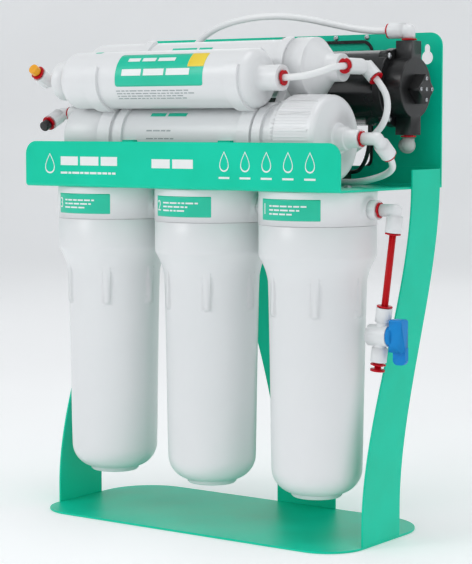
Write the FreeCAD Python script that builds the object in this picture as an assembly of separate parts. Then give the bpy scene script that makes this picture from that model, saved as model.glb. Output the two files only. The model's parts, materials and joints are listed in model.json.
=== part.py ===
"""Under-sink reverse osmosis unit: three bowl housings under a folded steel stand, with the
membrane housing, two inline filters and a booster pump above the shelf.

Frame: X along the front of the unit, Y from front to back, Z up, origin on the floor under the
middle of the base plate. All sizes are in millimetres.
"""
import FreeCAD, Part
import math
import os

V = FreeCAD.Vector

# ---- stand ---------------------------------------------------------------------------------
SHEET = 2.0                 # thickness of every folded sheet
BASE_HALF_W = 183.0
BASE_HALF_D = 86.6
BASE_FRONT_R = 40.0
BASE_REAR_R = 54.0
SHELF_Z = 327.8             # underside of the shelf
SHELF_HALF_W = 181.0
SHELF_FRONT_Y = -91.7
SHELF_REAR_Y = 96.75
FASCIA_HALF_W = 184.65
FASCIA_TOP_Z = 372.1
FASCIA_CORNER_R = 13.0
FOLD_R = 4.0
UPSTAND_TOP_Z = 347.6
LEG_FRONT = ((-47.4, 20.0), (38.0, 330.0))      # (y, z) where each edge leaves the vertical
LEG_REAR = ((18.8, 30.0), (90.2, 335.0))
LEG_TOP_Z = 346.0
REAR_LEG_LEFT = ((-1.6, 35.0), (-63.6, 335.0))  # (x, z)
REAR_LEG_RIGHT = ((68.7, 35.0), (-8.6, 335.0))
BACK_HALF_W = 180.0
BACK_TOP_Z = 476.6
BACK_CORNER_R = 13.0
KEYHOLE_X = 163.5
KEYHOLE_Z = 452.7
KEYHOLE_R = 6.5
KEYHOLE_SLOT_TOP_Z = 465.5
WINDOW_HALF_W = 103.4
WINDOW_Z = (344.0, 471.0)
WINDOW_R = 12.0
TRIM_W = 3.0

# ---- bowl housings -------------------------------------------------------------------------
HOUSING_PITCH = 122.0
HOUSING_Y = -31.0
HEAD_R = 55.3
SEAM_Z = 296.3
SPIGOT_R = 47.9
SPIGOT_BOTTOM_Z = 271.5
BOWL_BORE_R = 48.3
BOWL_COLLAR_R = 55.0
PORT_Z = 311.0
PORT_R = 6.5
ORING_Z = 276.0
RIB_COUNT = 6
PORT_FACE_X = HOUSING_PITCH + 57.5      # end of the outermost port bosses
INLET_MOUTH_X = 188.0
OUTLET_MOUTH_X = 186.5

# ---- horizontal housings, as (y, z) of each axis -------------------------------------------
MEMBRANE = (-43.0, 375.6)
MEMBRANE_R = 30.5
MEMBRANE_CAP_R = 40.0
REJECT_PORT = (-52.0, 399.0)            # the two ports in the left end of the membrane housing
PERMEATE_PORT = (-34.0, 352.2)
FRONT_FILTER = (-66.0, 431.0)
REAR_FILTER = (-10.0, 441.0)
FILTER_R = 27.5
CLIP_T = 3.0

# ---- pump ----------------------------------------------------------------------------------
PUMP = (55.0, 423.0)        # (y, z) of the shaft
MOTOR_R = 36.0
MOTOR_X = (20.0, 150.0)
SHAFT_R = 4.0
RUNNING_GAP = 0.05
CHAMBER_R = 25.0
END_CAP_DZ = -1.5
FLANGE_BOLTS = [(dy, dz) for dy in (-20.0, 20.0) for dz in (-29.5, 29.5)]
LEAD_R = 2.0
LEAD_X, LEAD_Y, LEAD_Z = 137.0, 36.0, 388.0     # where the lead leaves the motor
SWITCH_X = 86.5                                 # end of the pressure switch

# ---- push-in fittings ----------------------------------------------------------------------
TUBE_R = 3.175
BARREL_R = 7.5
ARM_R = 5.8
SOCKET_R = 5.0
SOCKET_DEPTH = 12.0
COLLET_FLANGE_R = 7.3
COLLET_FLANGE_T = 1.5
COLLET_TRAVEL = 1.5

os.makedirs("parts", exist_ok=True)
parts = {}


# ---- helpers -------------------------------------------------------------------------------
def unit(v):
    v = V(v)
    v.normalize()
    return v


def rod(start, direction, length, radius):
    """A cylinder from start along direction."""
    return Part.makeCylinder(radius, length, V(start), unit(direction))


def box(x, y, z):
    """A box from (low, high) pairs."""
    return Part.makeBox(x[1] - x[0], y[1] - y[0], z[1] - z[0], V(x[0], y[0], z[0]))


def fuse(*shapes):
    whole = shapes[0]
    for shape in shapes[1:]:
        whole = whole.fuse(shape)
    return whole.removeSplitter()


def path(items, place):
    """A closed wire from points (a, b) and arcs ((mid), (end)), mapped to 3-D by place."""
    edges = []
    start = last = items[0]
    for item in list(items[1:]) + [start]:
        if isinstance(item[0], tuple):
            edges.append(Part.Arc(place(last), place(item[0]), place(item[1])).toShape())
            last = item[1]
        elif math.dist(last, item) > 1e-6:
            edges.append(Part.LineSegment(place(last), place(item)).toShape())
            last = item
    return Part.Wire(edges)


def lathe(items, origin=(0, 0, 0), axis=(0, 0, 1)):
    """Turns an outline of (radius, height) about the axis through origin."""
    face = Part.Face(path(items, lambda p: V(p[0], 0, p[1])))
    solid = face.revolve(V(0, 0, 0), V(0, 0, 1), 360)
    turn = FreeCAD.Rotation(V(0, 0, 1), V(axis))
    solid.Placement = FreeCAD.Placement(V(origin), turn)
    return solid


def turned_x(items, axis_yz):
    """Turns an outline of (radius, x) about an axis that runs along X."""
    return lathe(items, (0, axis_yz[0], axis_yz[1]), (1, 0, 0))


def quarter(centre, radius, start_deg, end_deg):
    """An arc item about centre, for the outlines above."""
    def at(deg):
        a = math.radians(deg)
        return (centre[0] + radius * math.cos(a), centre[1] + radius * math.sin(a))
    return (at((start_deg + end_deg) / 2), at(end_deg))


def sheet_xz(items, y, thickness=SHEET):
    """A flat sheet from an outline in X and Z, from y backwards."""
    face = Part.Face(path(items, lambda p: V(p[0], y, p[1])))
    return face.extrude(V(0, thickness, 0))


def rounded(x, z, radius, top_only=False):
    """Outline of a rectangle with rounded corners."""
    x0, x1 = x
    z0, z1 = z
    r = radius
    if top_only:
        lower = [(x0, z0), (x1, z0)]
    else:
        lower = [(x0, z0 + r), quarter((x0 + r, z0 + r), r, 180, 270),
                 (x1 - r, z0), quarter((x1 - r, z0 + r), r, 270, 360)]
    upper = [(x1, z1 - r), quarter((x1 - r, z1 - r), r, 0, 90),
             (x0 + r, z1), quarter((x0 + r, z1 - r), r, 90, 180)]
    return lower + upper


def s_curve(low, high, place):
    """An S-shaped edge that is upright at both ends."""
    (a0, z0), (a1, z1) = low, high
    rise = (z1 - z0) / 3
    poles = [place(a0, z0), place(a0, z0 + rise), place(a1, z1 - rise), place(a1, z1)]
    curve = Part.BezierCurve()
    curve.setPoles(poles)
    return curve.toShape()


def swept_leg(left, right, bottom, top, place, push):
    """A sheet leg whose two edges are S-curves."""
    def line(a, b):
        return Part.LineSegment(place(*a), place(*b)).toShape()
    edges = [line((left[0][0], bottom), left[0]), s_curve(left[0], left[1], place)]
    if top > left[1][1]:
        edges.append(line(left[1], (left[1][0], top)))
    edges.append(line((left[1][0], max(top, left[1][1])), (right[1][0], max(top, right[1][1]))))
    if top > right[1][1]:
        edges.append(line((right[1][0], top), right[1]))
    edges += [s_curve(right[0], right[1], place), line(right[0], (right[0][0], bottom)),
              line((right[0][0], bottom), (left[0][0], bottom))]
    wire = Part.Wire(Part.__sortEdges__(edges))
    return Part.Face(wire).extrude(push)


def socket(solid, mouth, outward, channel=SOCKET_DEPTH + 4):
    """Cuts a push-in socket whose mouth faces outward."""
    inward = -unit(outward)
    bore = rod(mouth, inward, SOCKET_DEPTH, SOCKET_R)
    seat = rod(mouth, inward, channel, TUBE_R)
    return solid.cut(bore).cut(seat)


def collet(mouth, outward, gap, sleeve_r=SOCKET_R, bore_r=TUBE_R):
    """The coloured ring that releases a tube, standing gap off the mouth of its socket."""
    out = unit(outward)
    foot = V(mouth) + out * gap
    ring = rod(foot, out, COLLET_FLANGE_T, COLLET_FLANGE_R)
    sleeve = rod(foot - out * 8, out, 8 + COLLET_FLANGE_T / 2, sleeve_r)
    return fuse(ring, sleeve).cut(rod(foot - out * 9, out, 12, bore_r))


def elbow(corner, toward_port, arm, toward_out, out, stem=10.0, stem_r=TUBE_R):
    """A stem elbow: a plain stem on one side and a push-in socket on the other."""
    c = V(corner)
    a = unit(toward_port)
    b = unit(toward_out)
    body = fuse(Part.makeSphere(ARM_R + 0.15, c), rod(c, a, arm, ARM_R), rod(c, b, out - 12, ARM_R),
                rod(c + b * (out - 15), b, 15, BARREL_R), rod(c + a * (arm - 1), a, stem + 1, stem_r))
    return socket(body, c + b * out, b)


def tube(name, points, radius=TUBE_R):
    """A bent tube: straight runs joined by tangent arcs as large as the runs allow."""
    pts = [V(p) for p in points]
    edges = []
    start = pts[0]
    radii = []
    for i in range(1, len(pts) - 1):
        into = unit(pts[i] - pts[i - 1])
        away = unit(pts[i + 1] - pts[i])
        turn = into.getAngle(away)
        trim = 0.45 * min((pts[i] - pts[i - 1]).Length, (pts[i + 1] - pts[i]).Length)
        radii.append(trim / math.tan(turn / 2))
        a = pts[i] - into * trim
        b = pts[i] + away * trim
        bisector = unit(away - into)
        centre = pts[i] + bisector * (radii[-1] / math.cos(turn / 2))
        middle = centre - bisector * radii[-1]
        edges.append(Part.LineSegment(start, a).toShape())
        edges.append(Part.Arc(a, middle, b).toShape())
        start = b
    edges.append(Part.LineSegment(start, pts[-1]).toShape())
    wire = Part.Wire(edges)
    ring = Part.Wire([Part.makeCircle(radius, pts[0], unit(pts[1] - pts[0]))])
    solid = wire.makePipeShell([ring], True, True)
    expected = math.pi * radius ** 2 * wire.Length
    print(name, "length", round(wire.Length, 1), "smallest radius", round(min(radii), 1),
          "volume ratio", round(solid.Volume / expected, 4))
    parts[name] = solid
    return solid


# ---- stand ---------------------------------------------------------------------------------
def make_base():
    w, d, f, r = BASE_HALF_W, BASE_HALF_D, BASE_FRONT_R, BASE_REAR_R
    outline = [(-w, -d + f), quarter((-w + f, -d + f), f, 180, 270),
               (w - f, -d), quarter((w - f, -d + f), f, 270, 360),
               (w, d - r), quarter((w - r, d - r), r, 0, 90),
               (-w + r, d), quarter((-w + r, d - r), r, 90, 180)]
    face = Part.Face(path(outline, lambda p: V(p[0], p[1], 0)))
    parts["base_plate"] = face.extrude(V(0, 0, SHEET))


def make_legs():
    sides = []
    for x in (-BASE_HALF_W, BASE_HALF_W - SHEET):
        sides.append(swept_leg(LEG_FRONT, LEG_REAR, SHEET, LEG_TOP_Z,
                               lambda y, z, x=x: V(x, y, z), V(SHEET, 0, 0)))
    parts["side_legs"] = Part.makeCompound(sides)
    y = BASE_HALF_D - SHEET
    leg = swept_leg(REAR_LEG_LEFT, REAR_LEG_RIGHT, SHEET, SHELF_Z,
                    lambda a, z: V(a, y, z), V(0, SHEET, 0))
    leg = leg.common(box((-200, 200), (0, 200), (0, SHELF_Z)))
    flange = box((-60, -12), (y - 22, y + SHEET), (SHELF_Z - SHEET, SHELF_Z))
    leg = fuse(leg, flange)
    for x, sy in LEG_SCREWS:
        leg = leg.cut(rod((x, sy, SHELF_Z - 5), (0, 0, 1), 10, 2.0))
    parts["rear_leg"] = leg


def screw_places():
    """Housing screws through the shelf, as (x, y)."""
    return [(i * HOUSING_PITCH + dx, HOUSING_Y + dy)
            for i in (-1, 0, 1) for dx in (-20, 20) for dy in (-20, 20)]


LEG_SCREWS = [(-50.0, 72.0), (-22.0, 72.0)]
UPSTAND_SCREWS = [(-150.0, 338.0), (-60.0, 336.0), (60.0, 336.0), (150.0, 338.0)]
BRACKET_SCREWS = [(-2.0, 473.8), (60.0, 473.8), (96.0, 473.8)]


def make_shelf():
    y0, y1, z0, r = SHELF_FRONT_Y, SHELF_REAR_Y, SHELF_Z, FOLD_R
    inner = r - SHEET
    section = [(y0 + r, z0), (y1 - r, z0), quarter((y1 - r, z0 + r), r, 270, 360),
               (y1, UPSTAND_TOP_Z), (y1 - SHEET, UPSTAND_TOP_Z), (y1 - SHEET, z0 + r),
               quarter((y1 - r, z0 + r), inner, 360, 270),
               (y0 + r, z0 + SHEET), quarter((y0 + r, z0 + r), inner, 270, 180),
               (y0 + SHEET, FASCIA_TOP_Z), (y0, FASCIA_TOP_Z), (y0, z0 + r),
               quarter((y0 + r, z0 + r), r, 180, 270)]
    w = FASCIA_HALF_W
    face = Part.Face(path(section, lambda p: V(-w, p[0], p[1])))
    shelf = face.extrude(V(2 * w, 0, 0))
    front = rounded((-w, w), (z0 - 1, FASCIA_TOP_Z), FASCIA_CORNER_R, True)
    shelf = shelf.common(fuse(sheet_xz(front, y0 - 1, r + 1.5),
                              box((-SHELF_HALF_W, SHELF_HALF_W), (y0 + r, y1 + 1), (z0 - 1, 400))))
    for x, y in screw_places() + LEG_SCREWS:
        shelf = shelf.cut(rod((x, y, z0 - 5), (0, 0, 1), 12, 2.0))
    for x, z in UPSTAND_SCREWS:
        shelf = shelf.cut(rod((x, y1 - 5, z), (0, 1, 0), 10, 1.6))
    parts["shelf_bracket"] = shelf


def make_back():
    plate = sheet_xz(rounded((-BACK_HALF_W, BACK_HALF_W), (SHELF_Z, BACK_TOP_Z), BACK_CORNER_R, True),
                     SHELF_REAR_Y)
    y = SHELF_REAR_Y - 5
    w = WINDOW_HALF_W
    window = rounded((-w, w), WINDOW_Z, WINDOW_R)
    plate = plate.cut(sheet_xz(window, y, 12))
    for x in (-KEYHOLE_X, KEYHOLE_X):
        plate = plate.cut(rod((x, y, KEYHOLE_Z), (0, 1, 0), 12, KEYHOLE_R))
        half = KEYHOLE_R / 2
        plate = plate.cut(box((x - half, x + half), (y, y + 12), (KEYHOLE_Z, KEYHOLE_SLOT_TOP_Z - half)))
        plate = plate.cut(rod((x, y, KEYHOLE_SLOT_TOP_Z - half), (0, 1, 0), 12, half))
    for x, z in UPSTAND_SCREWS + BRACKET_SCREWS:
        plate = plate.cut(rod((x, y, z), (0, 1, 0), 12, 1.6))
    parts["back_plate"] = plate

    trim = sheet_xz(window, SHELF_REAR_Y - 1.2, SHEET + 1.2)
    hole = rounded((-w + TRIM_W, w - TRIM_W), (WINDOW_Z[0] + TRIM_W, WINDOW_Z[1] - TRIM_W), WINDOW_R - TRIM_W)
    trim = trim.cut(sheet_xz(hole, y, 12))
    parts["window_trim"] = trim.cut(box((-200, 200), (SHELF_REAR_Y - 3, SHELF_REAR_Y), (0, UPSTAND_TOP_Z)))


def make_pump_bracket():
    y = SHELF_REAR_Y + SHEET
    bracket = sheet_xz(rounded((-12, 112), (392.0, BACK_TOP_Z), 8), y)
    for x, z in BRACKET_SCREWS:
        bracket = bracket.cut(rod((x, y - 5, z), (0, 1, 0), 12, 1.6))
    for x, z in pump_feet_places():
        bracket = bracket.cut(rod((x, y - 5, z), (0, 1, 0), 12, 2.0))
    parts["pump_bracket"] = bracket


def make_screws():
    """Every fastener of the unit, in one node."""
    screws = []
    for x, y in screw_places():
        screws += [fuse(rod((x, y, SHELF_Z + SHEET), (0, 0, 1), 2.2, 3.8),
                        rod((x, y, SHELF_Z - 9), (0, 0, 1), 9 + SHEET, 2.0))]
    for x, y in LEG_SCREWS:
        screws += [fuse(rod((x, y, SHELF_Z + SHEET), (0, 0, 1), 2.2, 3.8),
                        rod((x, y, SHELF_Z - SHEET), (0, 0, 1), 2 * SHEET, 2.0),
                        rod((x, y, SHELF_Z - SHEET - 3), (0, 0, 1), 3, 3.6))]
    for x, z in UPSTAND_SCREWS:
        screws += [fuse(rod((x, SHELF_REAR_Y + SHEET, z), (0, 1, 0), 2, 3.2),
                        rod((x, SHELF_REAR_Y - SHEET, z), (0, 1, 0), 2 * SHEET, 1.6))]
    for x, z in BRACKET_SCREWS:
        screws += [fuse(rod((x, SHELF_REAR_Y - 1.8, z), (0, 1, 0), 1.8, 2.6),
                        rod((x, SHELF_REAR_Y, z), (0, 1, 0), 2 * SHEET, 1.6))]
    y, z = PUMP
    for dy, dz in ((0, 0), (-10, 0), (10, 0), (0, 10), (0, -10)):
        screws.append(rod((187, y + dy, z + END_CAP_DZ + dz), (1, 0, 0), 1.4, 1.9))
    for dy, dz in FLANGE_BOLTS:
        screws.append(rod((158, y + dy, z + dz), (1, 0, 0), 2.4, 3.0))
    parts["screws"] = Part.makeCompound(screws)


# ---- bowl housings -------------------------------------------------------------------------
def make_head(x):
    top = SHELF_Z
    outline = [(0, top), (HEAD_R - 1.2, top), quarter((HEAD_R - 1.2, top - 1.2), 1.2, 90, 0),
               (HEAD_R, SEAM_Z), (SPIGOT_R, SEAM_Z), (SPIGOT_R, ORING_Z + 1.4), (45.7, ORING_Z + 1.4),
               (45.7, ORING_Z - 1.4), (SPIGOT_R, ORING_Z - 1.4), (SPIGOT_R, SPIGOT_BOTTOM_Z),
               (44.0, SPIGOT_BOTTOM_Z), (44.0, 301.0), (12.5, 301.0), (12.5, 290.0), (6.0, 290.0),
               (6.0, 303.0), (0, 303.0)]
    head = lathe(outline, (x, HOUSING_Y, 0))
    for side in (-1, 1):
        head = head.fuse(rod((x, HOUSING_Y, PORT_Z), (side, 0, 0), 57.5, 11.0).cut(
            Part.makeCylinder(50, 60, V(x, HOUSING_Y, 280))))
    head = head.cut(rod((x + 60, HOUSING_Y, PORT_Z), (-1, 0, 0), 62, PORT_R))
    head = head.cut(rod((x - 60, HOUSING_Y, PORT_Z), (1, 0, 0), 34, PORT_R))
    head = head.cut(rod((x - 30, HOUSING_Y, 299), (0, 0, 1), 12, 4.0))
    head = head.cut(rod((x, HOUSING_Y, 288), (0, 0, 1), 23, 4.5))
    for dx in (-20, 20):
        for dy in (-20, 20):
            head = head.cut(rod((x + dx, HOUSING_Y + dy, top - 9), (0, 0, 1), 10, 2.0))
    return head


def make_bowl(x):
    outer = [(0, 41.0), (22.5, 41.0), (24.0, 42.5), (24.0, 44.6),
             quarter((18.8, 68.0), 24.0, -77.5, 0), (43.3, 94.0), (43.8, 132.0), (44.6, 180.0),
             (45.6, 226.0), (46.2, 243.0),
             ((49.0, 254.5), (53.2, 263.5)), ((54.6, 266.2), (BOWL_COLLAR_R, 269.2)),
             (BOWL_COLLAR_R, SEAM_Z - 0.9), (BOWL_COLLAR_R - 0.6, SEAM_Z - 0.3)]
    inner = [(BOWL_BORE_R, SEAM_Z - 0.3), (BOWL_BORE_R, 270.8), (45.0, 270.8), (45.0, 262.0),
             (42.8, 243.0), (41.0, 150.0), (39.8, 68.0), quarter((18.8, 68.0), 21.0, 0, -90),
             (14.0, 47.0), (14.0, 54.2), (12.5, 54.2), (12.5, 60.0), (0, 60.0)]
    bowl = lathe(outer + inner, (x, HOUSING_Y, 0))
    hollow = Part.makeCylinder(41.5, 200, V(x, HOUSING_Y, 80))
    for k in range(RIB_COUNT):
        a = math.radians(30 + 360 / RIB_COUNT * k)
        out = V(math.sin(a), -math.cos(a), 0)
        side = V(out.y, -out.x, 0)
        foot = V(x, HOUSING_Y, 215.5) + out * 40
        rib = Part.Face(Part.makePolygon([foot + side * 3.5, foot + side * 3.5 + out * 7.3,
                                          foot - side * 3.5 + out * 7.3, foot - side * 3.5,
                                          foot + side * 3.5])).extrude(V(0, 0, 37))
        end = Part.makeCylinder(3.5, 7.3, foot, out)
        bowl = bowl.fuse(fuse(rib, end).cut(hollow))
    return bowl.removeSplitter()


def make_cartridge(x):
    low, high = 54.5, 298.0
    outline = [(14.0, low), (33.5, low), (33.5, low + 6), (31.0, low + 6), (31.0, high - 6),
               (33.5, high - 6), (33.5, high), (14.0, high)]
    return lathe(outline, (x, HOUSING_Y, 0))


def make_end_fittings():
    """The threaded push-in fittings in the outermost ports: inlet on the right, outlet on the left."""
    inlet = fuse(rod((PORT_FACE_X, HOUSING_Y, PORT_Z), (1, 0, 0), INLET_MOUTH_X - PORT_FACE_X, 9.0),
                 rod((PORT_FACE_X - 14, HOUSING_Y, PORT_Z), (1, 0, 0), 15, PORT_R))
    inlet = inlet.cut(rod((INLET_MOUTH_X, HOUSING_Y, PORT_Z), (-1, 0, 0), 12, SOCKET_R))
    inlet = inlet.cut(rod((INLET_MOUTH_X, HOUSING_Y, PORT_Z), (-1, 0, 0), 30, 3.3))
    outlet = fuse(rod((-PORT_FACE_X, HOUSING_Y, PORT_Z), (-1, 0, 0), OUTLET_MOUTH_X - PORT_FACE_X, 9.0),
                  rod((-PORT_FACE_X + 14, HOUSING_Y, PORT_Z), (-1, 0, 0), 15, PORT_R))
    outlet = outlet.cut(rod((-OUTLET_MOUTH_X, HOUSING_Y, PORT_Z), (1, 0, 0), 12, SOCKET_R))
    outlet = outlet.cut(rod((-OUTLET_MOUTH_X, HOUSING_Y, PORT_Z), (1, 0, 0), 30, 2.5))
    return [inlet, outlet]


def make_housings():
    rings = []
    for number, x in ((1, HOUSING_PITCH), (2, 0.0), (3, -HOUSING_PITCH)):
        parts[f"head_{number}"] = make_head(x)
        parts[f"bowl_{number}"] = make_bowl(x)
        parts[f"cartridge_{number}"] = make_cartridge(x)
        rings.append(Part.makeTorus(46.9, 1.2, V(x, HOUSING_Y, ORING_Z)))
    rings.append(Part.makeTorus(33.8, 1.2, V(116, *MEMBRANE), V(1, 0, 0)))
    parts["seal_rings"] = Part.makeCompound(rings)
    nipples = make_end_fittings()
    for x in (-HOUSING_PITCH / 2, HOUSING_PITCH / 2):
        nipple = fuse(rod((x - 18, HOUSING_Y, PORT_Z), (1, 0, 0), 36, PORT_R),
                      rod((x - 3.5, HOUSING_Y, PORT_Z), (1, 0, 0), 7, 9.0))
        nipples.append(nipple.cut(rod((x - 19, HOUSING_Y, PORT_Z), (1, 0, 0), 38, 4.0)))
    parts["head_fittings"] = Part.makeCompound(nipples)


# ---- membrane housing and inline filters ---------------------------------------------------
def make_membrane():
    y, z = MEMBRANE
    r = MEMBRANE_R
    body = turned_x([(0, -150), (30.0, -150), quarter((30.0, -148), 2, 270, 360), (32.0, -112),
                     (r, -110), (r, 96), (36, 98), (36, 105.7), (33.9, 105.7), (32.6, 105.7), (32.6, 140),
                     (28, 140), (28, -140), (0, -140)], MEMBRANE)
    groove = turned_x([(32.6, 114.7), (35, 114.7), (35, 117.3), (32.6, 117.3)], MEMBRANE)
    body = body.fuse(turned_x([(31, 106), (34.8, 106), (34.8, 140), (31, 140)], MEMBRANE)).cut(groove)
    body = body.cut(turned_x([(0, -140), (28, -140), (28, 141), (0, 141)], MEMBRANE))
    for port in (REJECT_PORT, PERMEATE_PORT):
        body = body.fuse(rod((-149, *port), (-1, 0, 0), 9, BARREL_R))
        body = body.cut(rod((-158.5, *port), (1, 0, 0), 11.5, SOCKET_R))
        body = body.cut(rod((-158.5, *port), (1, 0, 0), 22, 2.5))
    parts["membrane_body"] = body.removeSplitter()
    cap = turned_x([(35.1, 106), (39, 106), quarter((39, 107), 1, 270, 360), (MEMBRANE_CAP_R, 145),
                    quarter((35, 145), 5, 0, 90), (15, 150), (15, 153), (11, 154), (11, 162),
                    (8.5, 163), (8.5, 176), (5, 176), (5, 164), (3.175, 164), (3.175, 144),
                    (35.1, 144)], MEMBRANE)
    for k in range(16):
        a = math.radians(360 / 16 * k + 11)
        rib = box((108, 143), (-0.9, 0.9), (39.2, 40.7))
        rib.rotate(V(0, 0, 0), V(1, 0, 0), math.degrees(a))
        rib.translate(V(0, y, z))
        cap = cap.fuse(rib)
    parts["membrane_cap"] = cap.removeSplitter()
    parts["membrane_element"] = turned_x([(3.2, -138), (22.5, -138), (22.5, 134), (9, 134), (9, 141),
                                          (3.2, 141)], MEMBRANE).fuse(
        turned_x([(22.5, 118), (27.8, 122), (27.8, 124), (22.5, 126)], MEMBRANE))


def filter_shell(x0, x1, axis_yz, left, right):
    """A closed cylinder with its two ends as outline items, hollow inside."""
    r = FILTER_R
    outer = left + [quarter((r - 9, x0 + 9), 9, 270, 360), (r, x1 - 9)] + right
    shell = turned_x(outer, axis_yz)
    inside = turned_x([(0, x0 + 4), (r - 6, x0 + 4), quarter((r - 8, x0 + 10), 6, 270, 360),
                       (r - 2, x1 - 10), quarter((r - 8, x1 - 10), 6, 0, 90), (0, x1 - 4)], axis_yz)
    return shell.cut(inside)


def make_filters():
    fx0, fx1 = -141.0, 84.0
    r = FILTER_R
    shell = filter_shell(
        fx0, fx1, FRONT_FILTER,
        [(0, -164), (8.5, -164), (8.5, -158), (16.5, -158), quarter((16.5, -155.5), 2.5, 270, 360),
         (19, fx0), (r - 9, fx0)],
        [quarter((r - 9, fx1 - 9), 9, 0, 90), (13.0, fx1), (12.0, fx1 + 2), (12.0, 106), (0, 106)])
    for mouth, out in ((-164, -1), (106, 1)):
        shell = shell.cut(rod((mouth, *FRONT_FILTER), (-out, 0, 0), 12, SOCKET_R))
        shell = shell.cut(rod((mouth, *FRONT_FILTER), (-out, 0, 0), 34, 2.5))
    parts["front_filter_shell"] = shell
    rx0, rx1 = -155.0, 88.0
    rear = filter_shell(
        rx0, rx1, REAR_FILTER,
        [(0, -172), (9, -172), (9, rx0), (r - 9, rx0)],
        [(r, rx1), (29, rx1), (29, 107), quarter((28, 107), 1, 0, 90), (14.5, 122), (13, 124), (13, 136),
         (0, 136)])
    for mouth, out in ((-172, -1), (136, 1)):
        rear = rear.cut(rod((mouth, *REAR_FILTER), (-out, 0, 0), 12, SOCKET_R))
        rear = rear.cut(rod((mouth, *REAR_FILTER), (-out, 0, 0), 54, 2.5))
    parts["rear_filter_shell"] = rear
    parts["filter_media"] = Part.makeCompound([
        turned_x([(3, fx0 + 10), (r - 4, fx0 + 10), (r - 4, fx1 - 10), (3, fx1 - 10)], FRONT_FILTER),
        turned_x([(3, rx0 + 10), (r - 4, rx0 + 10), (r - 4, rx1 - 10), (3, rx1 - 10)], REAR_FILTER)])


def clip(x, low, low_r, high, high_r):
    """A moulded clip: two open rings about parallel axes, joined by a web."""
    x0, x1 = x
    length = x1 - x0
    way = V(0, high[0] - low[0], high[1] - low[1])
    span = way.Length
    way = unit(way)
    side = V(0, -way.z, way.y)
    a = V(x0, *low)
    b = V(x0, *high)
    rings = fuse(rod(a, (1, 0, 0), length, low_r + CLIP_T), rod(b, (1, 0, 0), length, high_r + CLIP_T))
    web_low = a + way * (low_r - 6)
    corners = [web_low + side * 11, web_low - side * 11]
    web_high = a + way * (span - high_r + 6)
    corners += [web_high - side * 9, web_high + side * 9, corners[0]]
    web = Part.Face(Part.makePolygon(corners)).extrude(V(length, 0, 0))
    whole = rings.fuse(web)
    whole = whole.cut(rod(a, (1, 0, 0), length, low_r)).cut(rod(b, (1, 0, 0), length, high_r))
    for centre, out, radius in ((a, -way, low_r), (b, way, high_r)):
        reach = radius + 12
        mouth = [centre + out * (0.25 * radius), centre + out * reach + side * reach * 1.1,
                 centre + out * reach - side * reach * 1.1, centre + out * (0.25 * radius)]
        whole = whole.cut(Part.Face(Part.makePolygon(mouth)).extrude(V(length, 0, 0)))
    return whole


def make_clips():
    clips = [clip(x, MEMBRANE, MEMBRANE_R, FRONT_FILTER, FILTER_R) for x in ((-106, -91), (61, 75))]
    clips += [clip(x, MEMBRANE, MEMBRANE_R, REAR_FILTER, FILTER_R) for x in ((-86, -76), (78, 87))]
    for axis_yz, radius in ((FRONT_FILTER, FILTER_R), (REAR_FILTER, FILTER_R)):
        clips = [c.cut(rod((-130, *axis_yz), (1, 0, 0), 225, radius)) for c in clips]
    parts["double_clips"] = Part.makeCompound(clips)
    y, z = MEMBRANE
    brackets = []
    for x0, x1 in ((-72.0, -58.0), (42.0, 56.0)):
        block = box((x0, x1), (y - 36, y + 36), (SHELF_Z + SHEET, z - 2))
        block = block.cut(rod((x0 - 1, y, z), (1, 0, 0), x1 - x0 + 2, MEMBRANE_R))
        block = block.cut(box((x0 - 1, x1 + 1), (y - 27, y + 27), (SHELF_Z + SHEET + 3, z - 34)))
        brackets.append(block)
    parts["membrane_brackets"] = Part.makeCompound(brackets)


# ---- pump ----------------------------------------------------------------------------------
def pump_feet_places():
    """Rubber feet between the motor and its bracket, as (x, z)."""
    return [(x, PUMP[1] + dz) for x in (38.0, 90.0) for dz in (-20.0, 20.0)]


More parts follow.
